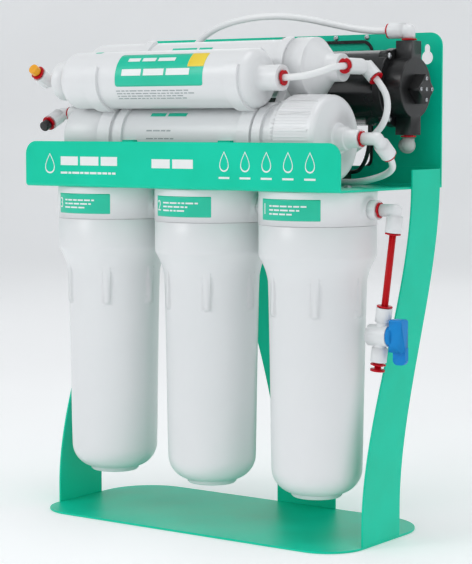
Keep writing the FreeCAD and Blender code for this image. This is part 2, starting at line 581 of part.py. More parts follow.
def make_pump():
    y, z = PUMP
    x0, x1 = MOTOR_X
    r = MOTOR_R
    motor = turned_x([(0, x0), (r - 3, x0), quarter((r - 3, x0 + 3), 3, 270, 360), (r, x1), (0, x1)], PUMP)
    motor = motor.cut(turned_x([(0, x0 + 3), (r - 2.5, x0 + 3), (r - 2.5, x1 - 8), (0, x1 - 8)], PUMP))
    motor = motor.fuse(turned_x([(10, x0 + 2), (13, x0 + 2), (13, x0 + 11), (10, x0 + 11)], PUMP))
    motor = motor.cut(turned_x([(0, x1 - 9), (10, x1 - 9), (10, x1 + 1), (0, x1 + 1)], PUMP))
    motor = motor.fuse(box((40, 74), (y - r - 1.2, y - r + 3), (z - 6, z + 8))).cut(
        turned_x([(0, x0 + 3), (r - 2.5, x0 + 3), (r - 2.5, x1 - 8), (0, x1 - 8)], PUMP).cut(
            turned_x([(0, x0 + 3), (13, x0 + 3), (13, x0 + 11), (0, x0 + 11)], PUMP)))
    saddle = box((30, 104), (y + 24, y + 38), (z - 26, z + 26)).cut(
        rod((29, y, z), (1, 0, 0), 76, r - 1))
    gland = rod((LEAD_X, LEAD_Y, LEAD_Z), (0, 0, 1), 10, 4.5).cut(
        rod((x0, y, z), (1, 0, 0), x1 - x0, r - 1))
    motor = motor.fuse(saddle).fuse(gland)
    parts["pump_motor"] = motor.removeSplitter()

    feet = []
    for fx, fz in pump_feet_places():
        foot = fuse(rod((fx, y + 38, fz), (0, 1, 0), SHELF_REAR_Y + SHEET - y - 38, 7.0),
                    rod((fx, SHELF_REAR_Y + SHEET, fz), (0, 1, 0), SHEET, 2.0),
                    rod((fx, SHELF_REAR_Y + 2 * SHEET, fz), (0, 1, 0), 2.0, 5.0))
        feet.append(foot)
    parts["pump_feet"] = Part.makeCompound(feet)

    magnets = turned_x([(25.5, 45), (r - 2.6, 45), (r - 2.6, 125), (25.5, 125)], PUMP)
    split = box((40, 130), (y - 50, y + 50), (z - 8, z + 8))
    parts["pump_magnets"] = magnets.cut(split)
    bearings = [turned_x([(SHAFT_R + RUNNING_GAP, b), (10, b), (10, b + 7), (SHAFT_R + RUNNING_GAP, b + 7)],
                         PUMP) for b in (x0 + 3.5, x1 - 7.5)]
    parts["pump_bearings"] = Part.makeCompound(bearings)
    rotor = turned_x([(0, x0 + 3.2), (SHAFT_R, x0 + 3.2), (SHAFT_R, 50), (24, 50), (24, 120), (12, 120),
                      (12, 132), (SHAFT_R, 132), (SHAFT_R, 158), (0, 158)], PUMP)
    rotor = rotor.fuse(rod((151.5, y + 2, z), (1, 0, 0), 6.0, 11.0))
    parts["pump_rotor"] = rotor

    head = turned_x([(0, 150), (37.5, 150), (37.5, 157), quarter((36.5, 157), 1, 0, 90), (29, 158), (29, 175),
                     quarter((28, 175), 1, 0, 90), (0, 176)], PUMP)
    for dy, dz in FLANGE_BOLTS:
        head = head.fuse(rod((150, y + dy, z + dz), (1, 0, 0), 8.0, 5.2))
    port_x = 168.0
    head = head.fuse(box((port_x - 9, port_x + 8), (y - 9, y + 9), (z - 44.5, z + 44)))
    head = head.cut(turned_x([(0, 149), (CHAMBER_R, 149), (CHAMBER_R, 162), (0, 162)], PUMP))
    for sz, top in ((1, z + 44), (-1, z - 44.5)):
        head = head.cut(rod((port_x, y, top), (0, 0, -sz), 12, SOCKET_R))
        head = head.cut(rod((port_x, y, top), (0, 0, -sz), 30, 3.0))
    parts["pump_head"] = head.removeSplitter()
    parts["pump_diaphragm"] = turned_x([(0, 159), (CHAMBER_R, 159), (CHAMBER_R, 162), (0, 162)], PUMP)
    half = 10.6
    cap = box((176, 187), (-half, half), (-half, half))
    cap = cap.makeFillet(2.0, [e for e in cap.Edges if abs(e.tangentAt(0).x) > 0.9])
    cap.rotate(V(0, 0, 0), V(1, 0, 0), 45)
    cap.translate(V(0, y, z + END_CAP_DZ))
    parts["pump_end_cap"] = cap


# ---- valve on the shelf, fittings and their rings -------------------------------------------
VALVE_CENTRE = (8.0, 52.0)
VALVE_PORTS = ((38.0, 1, 350.5), (38.0, 1, 337.3), (-22.0, -1, 350.5), (-22.0, -1, 337.3))
TEE = V(149.0, REAR_FILTER[0], 442.0)
RING_GAP = 0.6


def make_shutoff_valve():
    x, y = VALVE_CENTRE
    low = SHELF_Z + SHEET
    body = lathe([(0, low), (19, low), (19, 343.6), (21, 343.6), (21, 346.2), (19, 346.2), (19, 358),
                  quarter((17, 358), 2, 0, 90), (0, 360)], (x, y, 0))
    for mouth, side, z in VALVE_PORTS:
        body = body.fuse(rod((x, y, z), (side, 0, 0), abs(mouth - x), 6.2))
    for mouth, side, z in VALVE_PORTS:
        body = socket(body, (mouth, y, z), (side, 0, 0))
    parts["shutoff_valve"] = body.removeSplitter()


def small_collet(mouth, outward):
    """A ring for the closely spaced ports of the valve."""
    out = unit(outward)
    foot = V(mouth) + out * RING_GAP
    ring = fuse(rod(foot, out, 1.2, 6.2), rod(foot - out * 8, out, 9, SOCKET_R))
    return ring.cut(rod(foot - out * 9, out, 12, TUBE_R))


def make_tees():
    body = fuse(Part.makeSphere(ARM_R + 0.5, TEE), rod(TEE, (0, -1, 0), 17, BARREL_R),
                rod(TEE, (0, 1, 0), 9, BARREL_R), rod(TEE, (-1, 0, 0), 12.4, ARM_R),
                rod(TEE, (-1, 0, 0), 22, TUBE_R))
    body = body.cut(rod(TEE + V(0, -17, 0), (0, 1, 0), 12, SOCKET_R))
    body = body.cut(rod(TEE + V(0, -17, 0), (0, 1, 0), 27, TUBE_R))
    parts["rear_tee"] = body.removeSplitter()


TEE_ELBOW_CORNER = TEE + V(0, 19, 0)
TEE_ELBOW_OUT = unit(V(1, 0, -1))
MEMBRANE_ELBOW_CORNER = V(193.0, *MEMBRANE)
MEMBRANE_ELBOW_OUT = unit(V(0, 0.81, -0.587))
PUMP_OUT_CORNER = V(168.0, PUMP[0], PUMP[1] + 53.9)
PUMP_IN_CORNER = V(168.0, PUMP[0], PUMP[1] - 54.6)
PUMP_IN_OUT = unit(V(-0.6, 0.8, 0))


def make_fixed_fittings():
    make_tees()
    parts["stem_elbows"] = Part.makeCompound([
        elbow(TEE_ELBOW_CORNER, (0, -1, 0), 10, TEE_ELBOW_OUT, 14, stem=7),
        elbow(MEMBRANE_ELBOW_CORNER, (-1, 0, 0), 14.5, MEMBRANE_ELBOW_OUT, 24),
        elbow(PUMP_OUT_CORNER, (0, 0, -1), 7, (-1, 0, 0), 20.5, stem=10)])
    parts["pump_inlet_elbow"] = elbow(PUMP_IN_CORNER, (0, 0, 1), 7, PUMP_IN_OUT, 20.0, stem=10)

    rings = [collet((106, *FRONT_FILTER), (1, 0, 0), RING_GAP),
             collet(TEE + V(0, -17, 0), (0, -1, 0), RING_GAP),
             collet(TEE_ELBOW_CORNER + TEE_ELBOW_OUT * 14, TEE_ELBOW_OUT, RING_GAP),
             collet((176, *MEMBRANE), (1, 0, 0), RING_GAP),
             collet(MEMBRANE_ELBOW_CORNER + MEMBRANE_ELBOW_OUT * 24, MEMBRANE_ELBOW_OUT, RING_GAP),
             collet(V(168, PUMP[0], PUMP[1] + 44), (0, 0, 1), RING_GAP),
             collet(V(168, PUMP[0], PUMP[1] - 44.5), (0, 0, -1), RING_GAP),
             collet(PUMP_OUT_CORNER + V(-20.5, 0, 0), (-1, 0, 0), RING_GAP),
             collet(PUMP_IN_CORNER + PUMP_IN_OUT * 20, PUMP_IN_OUT, RING_GAP),
             collet((INLET_MOUTH_X, HOUSING_Y, PORT_Z), (1, 0, 0), RING_GAP, SOCKET_R, TUBE_R + 0.07),
             collet((-OUTLET_MOUTH_X, HOUSING_Y, PORT_Z), (-1, 0, 0), RING_GAP),
             collet((-172, *REAR_FILTER), (-1, 0, 0), RING_GAP),
             collet((-164, *FRONT_FILTER), (-1, 0, 0), RING_GAP, SOCKET_R, TUBE_R + 0.07),
             collet((-158, *REJECT_PORT), (-1, 0, 0), RING_GAP, SOCKET_R, TUBE_R + 0.07),
             collet((-158, *PERMEATE_PORT), (-1, 0, 0), RING_GAP)]
    rings += [small_collet((mouth, VALVE_CENTRE[1], z), (side, 0, 0)) for mouth, side, z in VALVE_PORTS]
    parts["fitting_rings"] = Part.makeCompound(rings)


# ---- inlet chain: elbow, red tube and ball valve ---------------------------------------------
CHAIN_CORNER = V(205.5, HOUSING_Y, PORT_Z)
CHAIN_LEAN_DEG = 7.0
CHAIN = V(-math.sin(math.radians(CHAIN_LEAN_DEG)), 0, -math.cos(math.radians(CHAIN_LEAN_DEG)))
CHAIN_ELBOW = 20.0
VALVE_AT = 115.0            # distances from the corner along the chain
VALVE_TOP = 89.5
VALVE_BOTTOM = 139.5


def along_chain(s):
    return CHAIN_CORNER + CHAIN * s


def make_inlet_chain():
    parts["inlet_elbow"] = elbow(CHAIN_CORNER, (-1, 0, 0), 14.5, CHAIN, CHAIN_ELBOW)
    parts["inlet_tube"] = rod(along_chain(9), CHAIN, VALVE_TOP - 9 + 11, TUBE_R)
    c = along_chain(VALVE_AT)
    body = fuse(rod(V(179.5, c.y, c.z), (1, 0, 0), 20.5, 10.0), Part.makeSphere(10.0, c),
                rod(along_chain(VALVE_TOP + 10), CHAIN, VALVE_BOTTOM - VALVE_TOP - 20, ARM_R),
                rod(along_chain(VALVE_TOP), CHAIN, 13, BARREL_R),
                rod(along_chain(VALVE_BOTTOM - 13), CHAIN, 13, BARREL_R))
    body = body.cut(box((200.0, 210), (c.y - 15, c.y + 15), (c.z - 15, c.z + 15)))
    body = socket(body, along_chain(VALVE_TOP), -CHAIN, 22)
    body = socket(body, along_chain(VALVE_BOTTOM), CHAIN, 22)
    body = body.cut(Part.makeSphere(6.0 + RUNNING_GAP, c))
    body = body.cut(rod(c, (1, 0, 0), 14, 3.0 + RUNNING_GAP))
    parts["valve_body"] = body.removeSplitter()
    ball = fuse(Part.makeSphere(6.0, c), rod(c, (1, 0, 0), 205.0 - c.x, 3.0))
    parts["valve_ball"] = ball.cut(rod(c - CHAIN * 8, CHAIN, 16, 2.4))
    hub = rod(V(200.4, c.y, c.z), (1, 0, 0), 4.6, 9.5).cut(rod(V(199, c.y, c.z), (1, 0, 0), 6, 3.0))
    block = box((203.4, 216.5), (c.y - 7, c.y + 5), (c.z - 14, c.z + 16))
    block = block.makeFillet(2.2, [e for e in block.Edges if e.CenterOfMass.z > c.z + 10])
    lever = box((204, 217), (c.y - 0.5, c.y + 5), (c.z - 26, c.z - 10))
    lever = lever.makeFillet(4.5, [e for e in lever.Edges
                                   if e.CenterOfMass.z < c.z - 25 and abs(e.tangentAt(0).y) > 0.9])
    handle = fuse(hub, block, lever)
    parts["valve_handle"] = handle.cut(rod(V(199, c.y, c.z), (1, 0, 0), 6, 3.0))
    parts["chain_rings"] = Part.makeCompound([
        collet(along_chain(CHAIN_ELBOW), CHAIN, RING_GAP),
        collet(along_chain(VALVE_TOP), -CHAIN, RING_GAP)])
    plug_port("valve_outlet", along_chain(VALVE_BOTTOM), CHAIN, 3.6, "red_plug", "flange")


def plug_port(ring_name, mouth, outward, gap, plug_name, style):
    """A loose release ring and the plug that blanks its socket."""
    out = unit(outward)
    parts[ring_name + "_ring"] = collet(mouth, out, COLLET_TRAVEL + 0.3, SOCKET_R - 0.1, TUBE_R + 0.15)
    base = V(mouth) + out * (COLLET_TRAVEL + 0.3 + COLLET_FLANGE_T + gap)
    if style == "flange":
        shape = fuse(rod(base, out, 1.8, 6.8), rod(base - out * 13, out, 13.5, TUBE_R - 0.05))
    else:
        knob = Part.makeCylinder(5.0, 7.5, base, out)
        knob = knob.makeFillet(1.2, [knob.Edges[0], knob.Edges[2]])
        shape = fuse(knob, rod(base - out * 11, out, 11.5, TUBE_R - 0.05))
    parts[plug_name] = shape


FILTER_ELBOW_CORNER = V(-178.0, *FRONT_FILTER)
FILTER_ELBOW_OUT = unit(V(0, -0.866, 0.5))
REJECT_ELBOW_CORNER = V(-171.0, *REJECT_PORT)
REJECT_ELBOW_OUT = unit(V(0, -0.906, -0.423))


def make_free_elbows():
    parts["filter_elbow"] = elbow(FILTER_ELBOW_CORNER, (1, 0, 0), 11.4, FILTER_ELBOW_OUT, 14, stem=9)
    plug_port("filter_port", FILTER_ELBOW_CORNER + FILTER_ELBOW_OUT * 14, FILTER_ELBOW_OUT, 0.6,
              "orange_plug", "knob")
    parts["reject_elbow"] = elbow(REJECT_ELBOW_CORNER, (1, 0, 0), 10.4, REJECT_ELBOW_OUT, 20, stem=9)
    plug_port("reject_port", REJECT_ELBOW_CORNER + REJECT_ELBOW_OUT * 20, REJECT_ELBOW_OUT, 0.6,
              "black_plug", "knob")


# ---- tubes and the pump lead -----------------------------------------------------------------
def make_tubes():
    tube("pump_outlet_tube", [
        (157, 55, 476.9), (133.5, 55, 476.9), (112, 51, 479.3), (88, 46, 484.5), (62, 40, 490.5),
        (36, 34, 493.8), (8, 29, 493), (-20, 26, 488.5), (-44, 25, 480), (-64, 26, 466), (-76, 29, 447),
        (-81, 34, 425), (-80, 40, 402), (-74, 46, 380), (-63, 50, 360), (-52, 52, 343.5), (-34.5, 52, 337.3),
        (-12, 52, 337.3)])
    tube("link_tube", [
        (96, -66, 431), (121, -66, 431), (139, -58.5, 435), (149, -41, 442), (149, -16, 442)])
    out = TEE_ELBOW_OUT
    a = TEE_ELBOW_CORNER + out * 4
    b = TEE_ELBOW_CORNER + out * 27.5
    tube("tank_tube", [
        a, b, (174, 8, 406.5), (171, 6.5, 390.5), (160, 6.5, 378.5), (144, 8.5, 369),
        (126, 13.5, 360.5), (108, 21, 355), (90, 31, 352.2), (71, 42, 351), (51, 52, 350.5), (28, 52, 350.5)])
    c = MEMBRANE_ELBOW_CORNER + MEMBRANE_ELBOW_OUT * 13
    d = MEMBRANE_ELBOW_CORNER + MEMBRANE_ELBOW_OUT * 40.5
    tube("feed_tube", [
        c, d, (176, 3, 342), (149, 4, 335), (122, 15, 333.6), (98, 30, 334),
        (75, 43.5, 335.8), (51, 52, 337.3), (28, 52, 337.3)])
    tube("pump_lead", [
        (LEAD_X, LEAD_Y, LEAD_Z), (LEAD_X, LEAD_Y, 374), (130, 42, 357), (118, 52, 347),
        (103, 66, 341.5), (SWITCH_X, 66, 341.5)], LEAD_R)


def make_switch():
    body = box((52.0, SWITCH_X), (58.0, 86.0), (SHELF_Z + SHEET, 352.0))
    body = body.makeFillet(3.0, [e for e in body.Edges if abs(e.tangentAt(0).z) > 0.9])
    parts["pressure_switch"] = body


def main():
    make_base()
    make_legs()
    make_shelf()
    make_back()
    make_pump_bracket()
    make_housings()
    make_membrane()
    make_filters()
    make_clips()
    make_pump()
    make_shutoff_valve()
    make_fixed_fittings()
    make_inlet_chain()
    make_free_elbows()
    make_tubes()
    make_switch()
    make_screws()
    for name, shape in parts.items():
        if not shape.isValid() or not shape.Solids:
            print("not valid:", name)
        shape.exportStep(f"parts/{name}.step")
    print(len(parts), "nodes")


main()
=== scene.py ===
# %% [markdown]
# # A reverse osmosis unit in the studio
# The unit filters tap water. Three bowls hang under a folded steel stand, and a membrane
# housing, two inline filters and a small pump lie on its shelf. The CAD model already has every
# part in its right place, so this lesson is about how the parts look: we load the CAD model as a
# fixed frame, give each part its finish, and make the small pieces that CAD leaves plain.

# %% Load the frame
import json
import math
import random
import bmesh
import bpy
from mathutils import Matrix, Vector

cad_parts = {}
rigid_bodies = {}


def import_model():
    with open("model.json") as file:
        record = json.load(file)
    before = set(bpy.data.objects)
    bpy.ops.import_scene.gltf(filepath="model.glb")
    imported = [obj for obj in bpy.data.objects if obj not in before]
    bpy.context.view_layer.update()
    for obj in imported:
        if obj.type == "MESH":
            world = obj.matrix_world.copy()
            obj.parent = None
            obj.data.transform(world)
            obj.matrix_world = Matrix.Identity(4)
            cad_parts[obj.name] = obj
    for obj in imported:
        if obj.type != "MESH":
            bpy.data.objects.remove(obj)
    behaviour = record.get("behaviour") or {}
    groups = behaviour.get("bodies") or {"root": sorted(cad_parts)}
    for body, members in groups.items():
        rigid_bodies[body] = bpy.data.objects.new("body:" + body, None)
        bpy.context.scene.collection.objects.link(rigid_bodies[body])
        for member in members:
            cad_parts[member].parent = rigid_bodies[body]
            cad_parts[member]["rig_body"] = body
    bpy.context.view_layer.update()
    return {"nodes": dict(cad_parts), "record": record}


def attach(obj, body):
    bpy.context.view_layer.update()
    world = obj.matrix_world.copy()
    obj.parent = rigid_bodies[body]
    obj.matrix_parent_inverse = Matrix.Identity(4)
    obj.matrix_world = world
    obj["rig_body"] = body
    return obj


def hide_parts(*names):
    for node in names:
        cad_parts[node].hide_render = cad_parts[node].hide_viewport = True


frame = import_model()
slot_of = {part["node"]: part["material_slot"] for part in frame["record"]["subparts"]}
body_of = {node: obj["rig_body"] for node, obj in frame["nodes"].items()}

# %% [markdown]
# ## The camera
# The camera comes first, because it decides which details are worth making. It stands to the
# right of the front, a little above the shelf, with a long lens so that upright lines stay
# upright. A camera in Blender looks along its own -Z, so its axes are the columns of a matrix.

# %% Place the camera
CAMERA_PLACE = Vector((1.0702, -1.4890, 0.3897))
CAMERA_RIGHT = Vector((0.8137, 0.5813, 0.0))
CAMERA_UP = Vector((-0.0491, 0.0688, 0.9964))
CAMERA_AHEAD = Vector((-0.5792, 0.8108, -0.0845))

lens = bpy.data.cameras.new("studio_camera")
lens.lens = 119.6
lens.sensor_width = 36.0
camera = bpy.data.objects.new("studio_camera", lens)
axes = Matrix((CAMERA_RIGHT, CAMERA_UP, -CAMERA_AHEAD)).transposed()
camera.matrix_world = Matrix.Translation(CAMERA_PLACE) @ axes.to_4x4()
bpy.context.scene.collection.objects.link(camera)
bpy.context.scene.camera = camera
print("camera", [round(v, 3) for v in CAMERA_PLACE], "lens", lens.lens)

# %% [markdown]
# ## Colours
# Paint charts give colours as they look on a screen, but the shader works with the amount of
# light, so each channel goes through the screen's curve once. One small helper does that.

# %% A colour helper
def paint(red, green, blue):
    """A screen colour, 0 to 255, as the amount of light that the shader needs."""
    channels = [c / 255 for c in (red, green, blue)]
    light = [c / 12.92 if c <= 0.04045 else ((c + 0.055) / 1.055) ** 2.4 for c in channels]
    return (*light, 1.0)


print("teal as light:", [round(c, 3) for c in paint(35, 200, 165)])

# %% [markdown]
# ## How a finish is put together
# A real surface is never one flat colour. Powder coat has a fine orange peel, moulded plastic has
# faint flow marks, and both shine unevenly where hands have been. Each finish here has the same
# three layers: one noise drifts the colour between two close tones, the same noise drifts the
# roughness, and a finer noise gives relief through a Bump node. The noises read Object
# coordinates, which are metres on these parts, so a scale of 900 means grains about 1 mm apart.

# %% The finish maker
def finish(name, tones, rough, grain, relief, drift=18.0, metal=0.0, coat=0.0,
           mirror=0.5):
    """A material with drifting colour and roughness, and relief of the given grain.

    mirror is how much the surface reflects before its own colour shows. A deep colour needs
    less of it, because white studio light in the reflection washes the colour out."""
    material = bpy.data.materials.new(name)
    material.use_nodes = True
    nodes, links = material.node_tree.nodes, material.node_tree.links
    shader = nodes["Principled BSDF"]
    shader.inputs["Metallic"].default_value = metal
    shader.inputs["Coat Weight"].default_value = coat
    shader.inputs["Coat Roughness"].default_value = 0.15
    shader.inputs["Specular IOR Level"].default_value = mirror
    place = nodes.new("ShaderNodeTexCoord")
    cloud = nodes.new("ShaderNodeTexNoise")
    cloud.inputs["Scale"].default_value = drift
    cloud.inputs["Detail"].default_value = 4.0
    links.new(place.outputs["Object"], cloud.inputs["Vector"])
    ramp = nodes.new("ShaderNodeValToRGB")
    ramp.color_ramp.elements[0].position, ramp.color_ramp.elements[0].color = 0.3, tones[0]
    ramp.color_ramp.elements[1].position, ramp.color_ramp.elements[1].color = 0.7, tones[1]
    links.new(cloud.outputs["Fac"], ramp.inputs["Fac"])
    links.new(ramp.outputs["Color"], shader.inputs["Base Color"])
    shine = nodes.new("ShaderNodeMapRange")
    shine.inputs["To Min"].default_value, shine.inputs["To Max"].default_value = rough
    links.new(cloud.outputs["Fac"], shine.inputs["Value"])
    links.new(shine.outputs["Result"], shader.inputs["Roughness"])
    grit = nodes.new("ShaderNodeTexNoise")
    grit.name = "grit"
    grit.inputs["Scale"].default_value = grain
    grit.inputs["Detail"].default_value = 3.0
    links.new(place.outputs["Object"], grit.inputs["Vector"])
    bump = nodes.new("ShaderNodeBump")
    bump.name = "relief"
    bump.inputs["Strength"].default_value = relief
    bump.inputs["Distance"].default_value = 0.0004
    links.new(grit.outputs["Fac"], bump.inputs["Height"])
    links.new(bump.outputs["Normal"], shader.inputs["Normal"])
    return material


# %% [markdown]
# ## The painted and moulded finishes
# Each call below is one real finish. The steel parts are powder coated in teal, the housings are
# glossy white polypropylene, and the small parts are coloured nylon or acetal. A moulded part
# has finer grain and less relief than a coated one, and a rubber part is rougher than both.

# %% The main finishes
FINISHES = {
    "teal_steel": finish("teal_powder_coat", (paint(0, 205, 166), paint(4, 214, 177)),
                         (0.34, 0.46), 900, 0.16, mirror=0.22),
    "white_plastic": finish("white_polypropylene", (paint(230, 232, 233), paint(236, 237, 238)),
                            (0.30, 0.36), 900, 0.035, drift=7.0, coat=0.1),
    "clear_white_plastic": finish("milky_acetal", (paint(205, 214, 210), paint(226, 232, 228)),
                                  (0.20, 0.30), 500, 0.06),
    "tube_white": finish("tube_polyethylene", (paint(232, 234, 235), paint(243, 244, 244)),
                         (0.30, 0.42), 700, 0.05),
    "red_plastic": finish("red_acetal", (paint(176, 4, 20), paint(204, 10, 32)),
                          (0.25, 0.38), 800, 0.08, mirror=0.25),
    "tube_red": finish("tube_red_polyethylene", (paint(184, 4, 14), paint(200, 8, 22)),
                       (0.30, 0.42), 700, 0.05, mirror=0.2),
    "blue_plastic": finish("blue_nylon", (paint(0, 120, 200), paint(8, 138, 214)),
                           (0.28, 0.40), 900, 0.10, mirror=0.25),
    "orange_plastic": finish("orange_acetal", (paint(236, 158, 22), paint(248, 178, 40)),
                             (0.28, 0.40), 900, 0.10),
}
print(sorted(FINISHES))

# %% The dark and hidden finishes
FINISHES.update({
    "black_plastic": finish("black_glass_nylon", (paint(13, 14, 15), paint(25, 26, 27)),
                            (0.26, 0.42), 1400, 0.18, coat=0.1),
    "black_metal": finish("black_enamel", (paint(12, 13, 14), paint(22, 23, 25)),
                          (0.20, 0.34), 1100, 0.10, coat=0.3),
    "rubber_black": finish("black_rubber", (paint(24, 24, 25), paint(38, 38, 39)),
                           (0.62, 0.78), 1600, 0.25),
    "lead_black": finish("cable_sheath", (paint(22, 22, 23), paint(34, 34, 36)),
                         (0.45, 0.58), 1200, 0.12),
    "steel": finish("zinc_plate", (paint(178, 181, 184), paint(214, 216, 218)),
                    (0.22, 0.36), 1300, 0.10, metal=1.0),
    "magnet_grey": finish("ferrite", (paint(66, 67, 70), paint(86, 87, 90)),
                          (0.55, 0.72), 1500, 0.30),
    "carbon_black": finish("carbon_block", (paint(26, 27, 28), paint(48, 49, 50)),
                           (0.75, 0.92), 1800, 0.60, drift=240),
})
print(len(FINISHES), "finishes so far")

# %% [markdown]
# ## Wound finishes
# A sediment cartridge is spun from white fibre, a membrane is a wrapped film, and a motor's
# armature is wound with copper wire. All three show fine parallel bands, so they start as an
# ordinary finish, and a Wave texture takes the place of the noise that feeds the relief.

# %% Add bands to a finish
def wind(material, direction, bands, strength):
    """Feeds the relief of a finish from even bands across the direction."""
    nodes, links = material.node_tree.nodes, material.node_tree.links
    wave = nodes.new("ShaderNodeTexWave")
    wave.bands_direction = direction
    wave.inputs["Scale"].default_value = bands
    wave.inputs["Distortion"].default_value = 1.5
    place = next(n for n in nodes if n.type == "TEX_COORD")
    links.new(place.outputs["Object"], wave.inputs["Vector"])
    links.new(wave.outputs["Fac"], nodes["relief"].inputs["Height"])
    nodes["relief"].inputs["Strength"].default_value = strength
    return material


FINISHES["cartridge_white"] = wind(
    finish("spun_fibre", (paint(232, 231, 224), paint(244, 243, 238)), (0.80, 0.95), 900, 0.5),
    "DIAGONAL", 90, 0.6)
FINISHES["membrane_wrap"] = wind(
    finish("wrapped_film", (paint(72, 122, 168), paint(92, 142, 188)), (0.30, 0.42), 900, 0.2),
    "X", 30, 0.3)
FINISHES["copper_armature"] = wind(
    finish("wound_copper", (paint(170, 98, 58), paint(204, 128, 84)), (0.30, 0.45), 900, 0.3,
           metal=1.0), "X", 160, 0.5)
print(len(FINISHES), "finishes for", len(set(slot_of.values())), "slots")

# %% [markdown]
# ## A milky elbow
# The pump's inlet elbow is clear plastic that lets some light through. Transmission does that,
# and a little roughness keeps it milky. The weight is a plain number on the socket.

# %% Let light through the elbow
milky = FINISHES["clear_white_plastic"].node_tree.nodes["Principled BSDF"]
milky.inputs["Transmission Weight"].default_value = 0.45
milky.inputs["IOR"].default_value = 1.48
print("transmission", milky.inputs["Transmission Weight"].default_value)

# %% [markdown]
# ## Smooth parts from CAD meshes
# CAD exports loose triangles, so a round bowl looks faceted. We copy each mesh, merge the points
# that share a place, and shade it smooth except at real edges, which the angle finds. The copy
# stands for the CAD part. Folded sheet also gets a narrow bevel, because a coated edge is never
# razor sharp and a thin bright line along it makes the thickness readable.

# %% The dressing helper
def dress(node, edge=0.0, angle=28):
    """A smooth copy of a CAD part in its finish, which stands for the part."""
    mesh = frame["nodes"][node].data.copy()
    shell = bmesh.new()
    shell.from_mesh(mesh)
    bmesh.ops.remove_doubles(shell, verts=shell.verts, dist=2e-6)
    if edge:
        bmesh.ops.dissolve_limit(shell, angle_limit=math.radians(0.6), verts=shell.verts,
                                 edges=shell.edges)
    shell.to_mesh(mesh)
    shell.free()
    mesh.shade_smooth()
    mesh.set_sharp_from_angle(angle=math.radians(angle))
    mesh.materials.clear()
    mesh.materials.append(FINISHES[slot_of[node]])
    piece = bpy.data.objects.new(node + "_finished", mesh)
    bpy.context.scene.collection.objects.link(piece)
    if edge:
        bevel = piece.modifiers.new("coated_edge", "BEVEL")
        bevel.width, bevel.segments, bevel.limit_method = edge, 2, "ANGLE"
        bevel.angle_limit = math.radians(50)
    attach(piece, body_of[node])
    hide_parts(node)
    return piece


# %% [markdown]
# ## Dress every part
# Screws, release rings and bent tubes are made anew further down, so they are left out here. All
# the other parts keep their CAD shape. The flat sheets are the ones that get the narrow bevel.

# %% Dress the parts
SHEETS = ("base_plate", "side_legs", "rear_leg", "shelf_bracket", "back_plate", "pump_bracket")
RINGS = ("fitting_rings", "chain_rings", "valve_outlet_ring", "filter_port_ring",
         "reject_port_ring")
TUBES = ("pump_outlet_tube", "link_tube", "tank_tube", "feed_tube", "pump_lead")
made_later = {"screws", *RINGS, *TUBES}
dressed = {node: dress(node, edge=0.0004 if node in SHEETS else 0.0)
           for node in sorted(slot_of) if node not in made_later}
print("dressed", len(dressed), "parts")

# %% [markdown]
# ## One tree for everything that repeats
# Screws, release rings, grip ribs and printed bars are each one small shape used many times.
# Geometry Nodes suits that: a cloud of points says where, which way and how large, and the tree
# puts the shape on each. The points carry four attributes. "aim" is where the shape's Z goes,
# "along" is where its X goes, and "size" scales it. The tree has named inputs for the shape and
# the finish, realizes the instances so that the result is real mesh, and sets the finish.

# %% Build the tree
def build_tree():
    tree = bpy.data.node_groups.new("set_out_shapes", "GeometryNodeTree")
    face = tree.interface
    face.new_socket("Geometry", in_out="INPUT", socket_type="NodeSocketGeometry")
    face.new_socket("Shape", in_out="INPUT", socket_type="NodeSocketObject")
    face.new_socket("Finish", in_out="INPUT", socket_type="NodeSocketMaterial")
    face.new_socket("Overall size", in_out="INPUT", socket_type="NodeSocketFloat")
    face.new_socket("Geometry", in_out="OUTPUT", socket_type="NodeSocketGeometry")
    nodes, links = tree.nodes, tree.links
    given, result = nodes.new("NodeGroupInput"), nodes.new("NodeGroupOutput")

    def attribute(name):
        node = nodes.new("GeometryNodeInputNamedAttribute")
        node.data_type = "FLOAT_VECTOR"
        node.inputs["Name"].default_value = name
        return node.outputs["Attribute"]

    upright = nodes.new("FunctionNodeAlignRotationToVector")
    upright.axis = "Z"
    links.new(attribute("aim"), upright.inputs["Vector"])
    turned = nodes.new("FunctionNodeAlignRotationToVector")
    turned.axis, turned.pivot_axis = "X", "Z"
    links.new(upright.outputs["Rotation"], turned.inputs["Rotation"])
    links.new(attribute("along"), turned.inputs["Vector"])
    scaled = nodes.new("ShaderNodeVectorMath")
    scaled.operation = "SCALE"
    links.new(attribute("size"), scaled.inputs[0])
    links.new(given.outputs["Overall size"], scaled.inputs["Scale"])
    shape = nodes.new("GeometryNodeObjectInfo")
    links.new(given.outputs["Shape"], shape.inputs["Object"])
    points = nodes.new("GeometryNodeMeshToPoints")
    links.new(given.outputs["Geometry"], points.inputs["Mesh"])
    placed = nodes.new("GeometryNodeInstanceOnPoints")
    links.new(points.outputs["Points"], placed.inputs["Points"])
    links.new(shape.outputs["Geometry"], placed.inputs["Instance"])
    links.new(turned.outputs["Rotation"], placed.inputs["Rotation"])
    links.new(scaled.outputs["Vector"], placed.inputs["Scale"])
    real = nodes.new("GeometryNodeRealizeInstances")
    links.new(placed.outputs["Instances"], real.inputs["Geometry"])
    coloured = nodes.new("GeometryNodeSetMaterial")
    links.new(real.outputs["Geometry"], coloured.inputs["Geometry"])
    links.new(given.outputs["Finish"], coloured.inputs["Material"])
    links.new(coloured.outputs["Geometry"], result.inputs["Geometry"])
    return tree


SET_OUT = build_tree()
SOCKETS = {item.name: item.identifier for item in SET_OUT.interface.items_tree
           if item.in_out == "INPUT"}
print("tree inputs", SOCKETS)

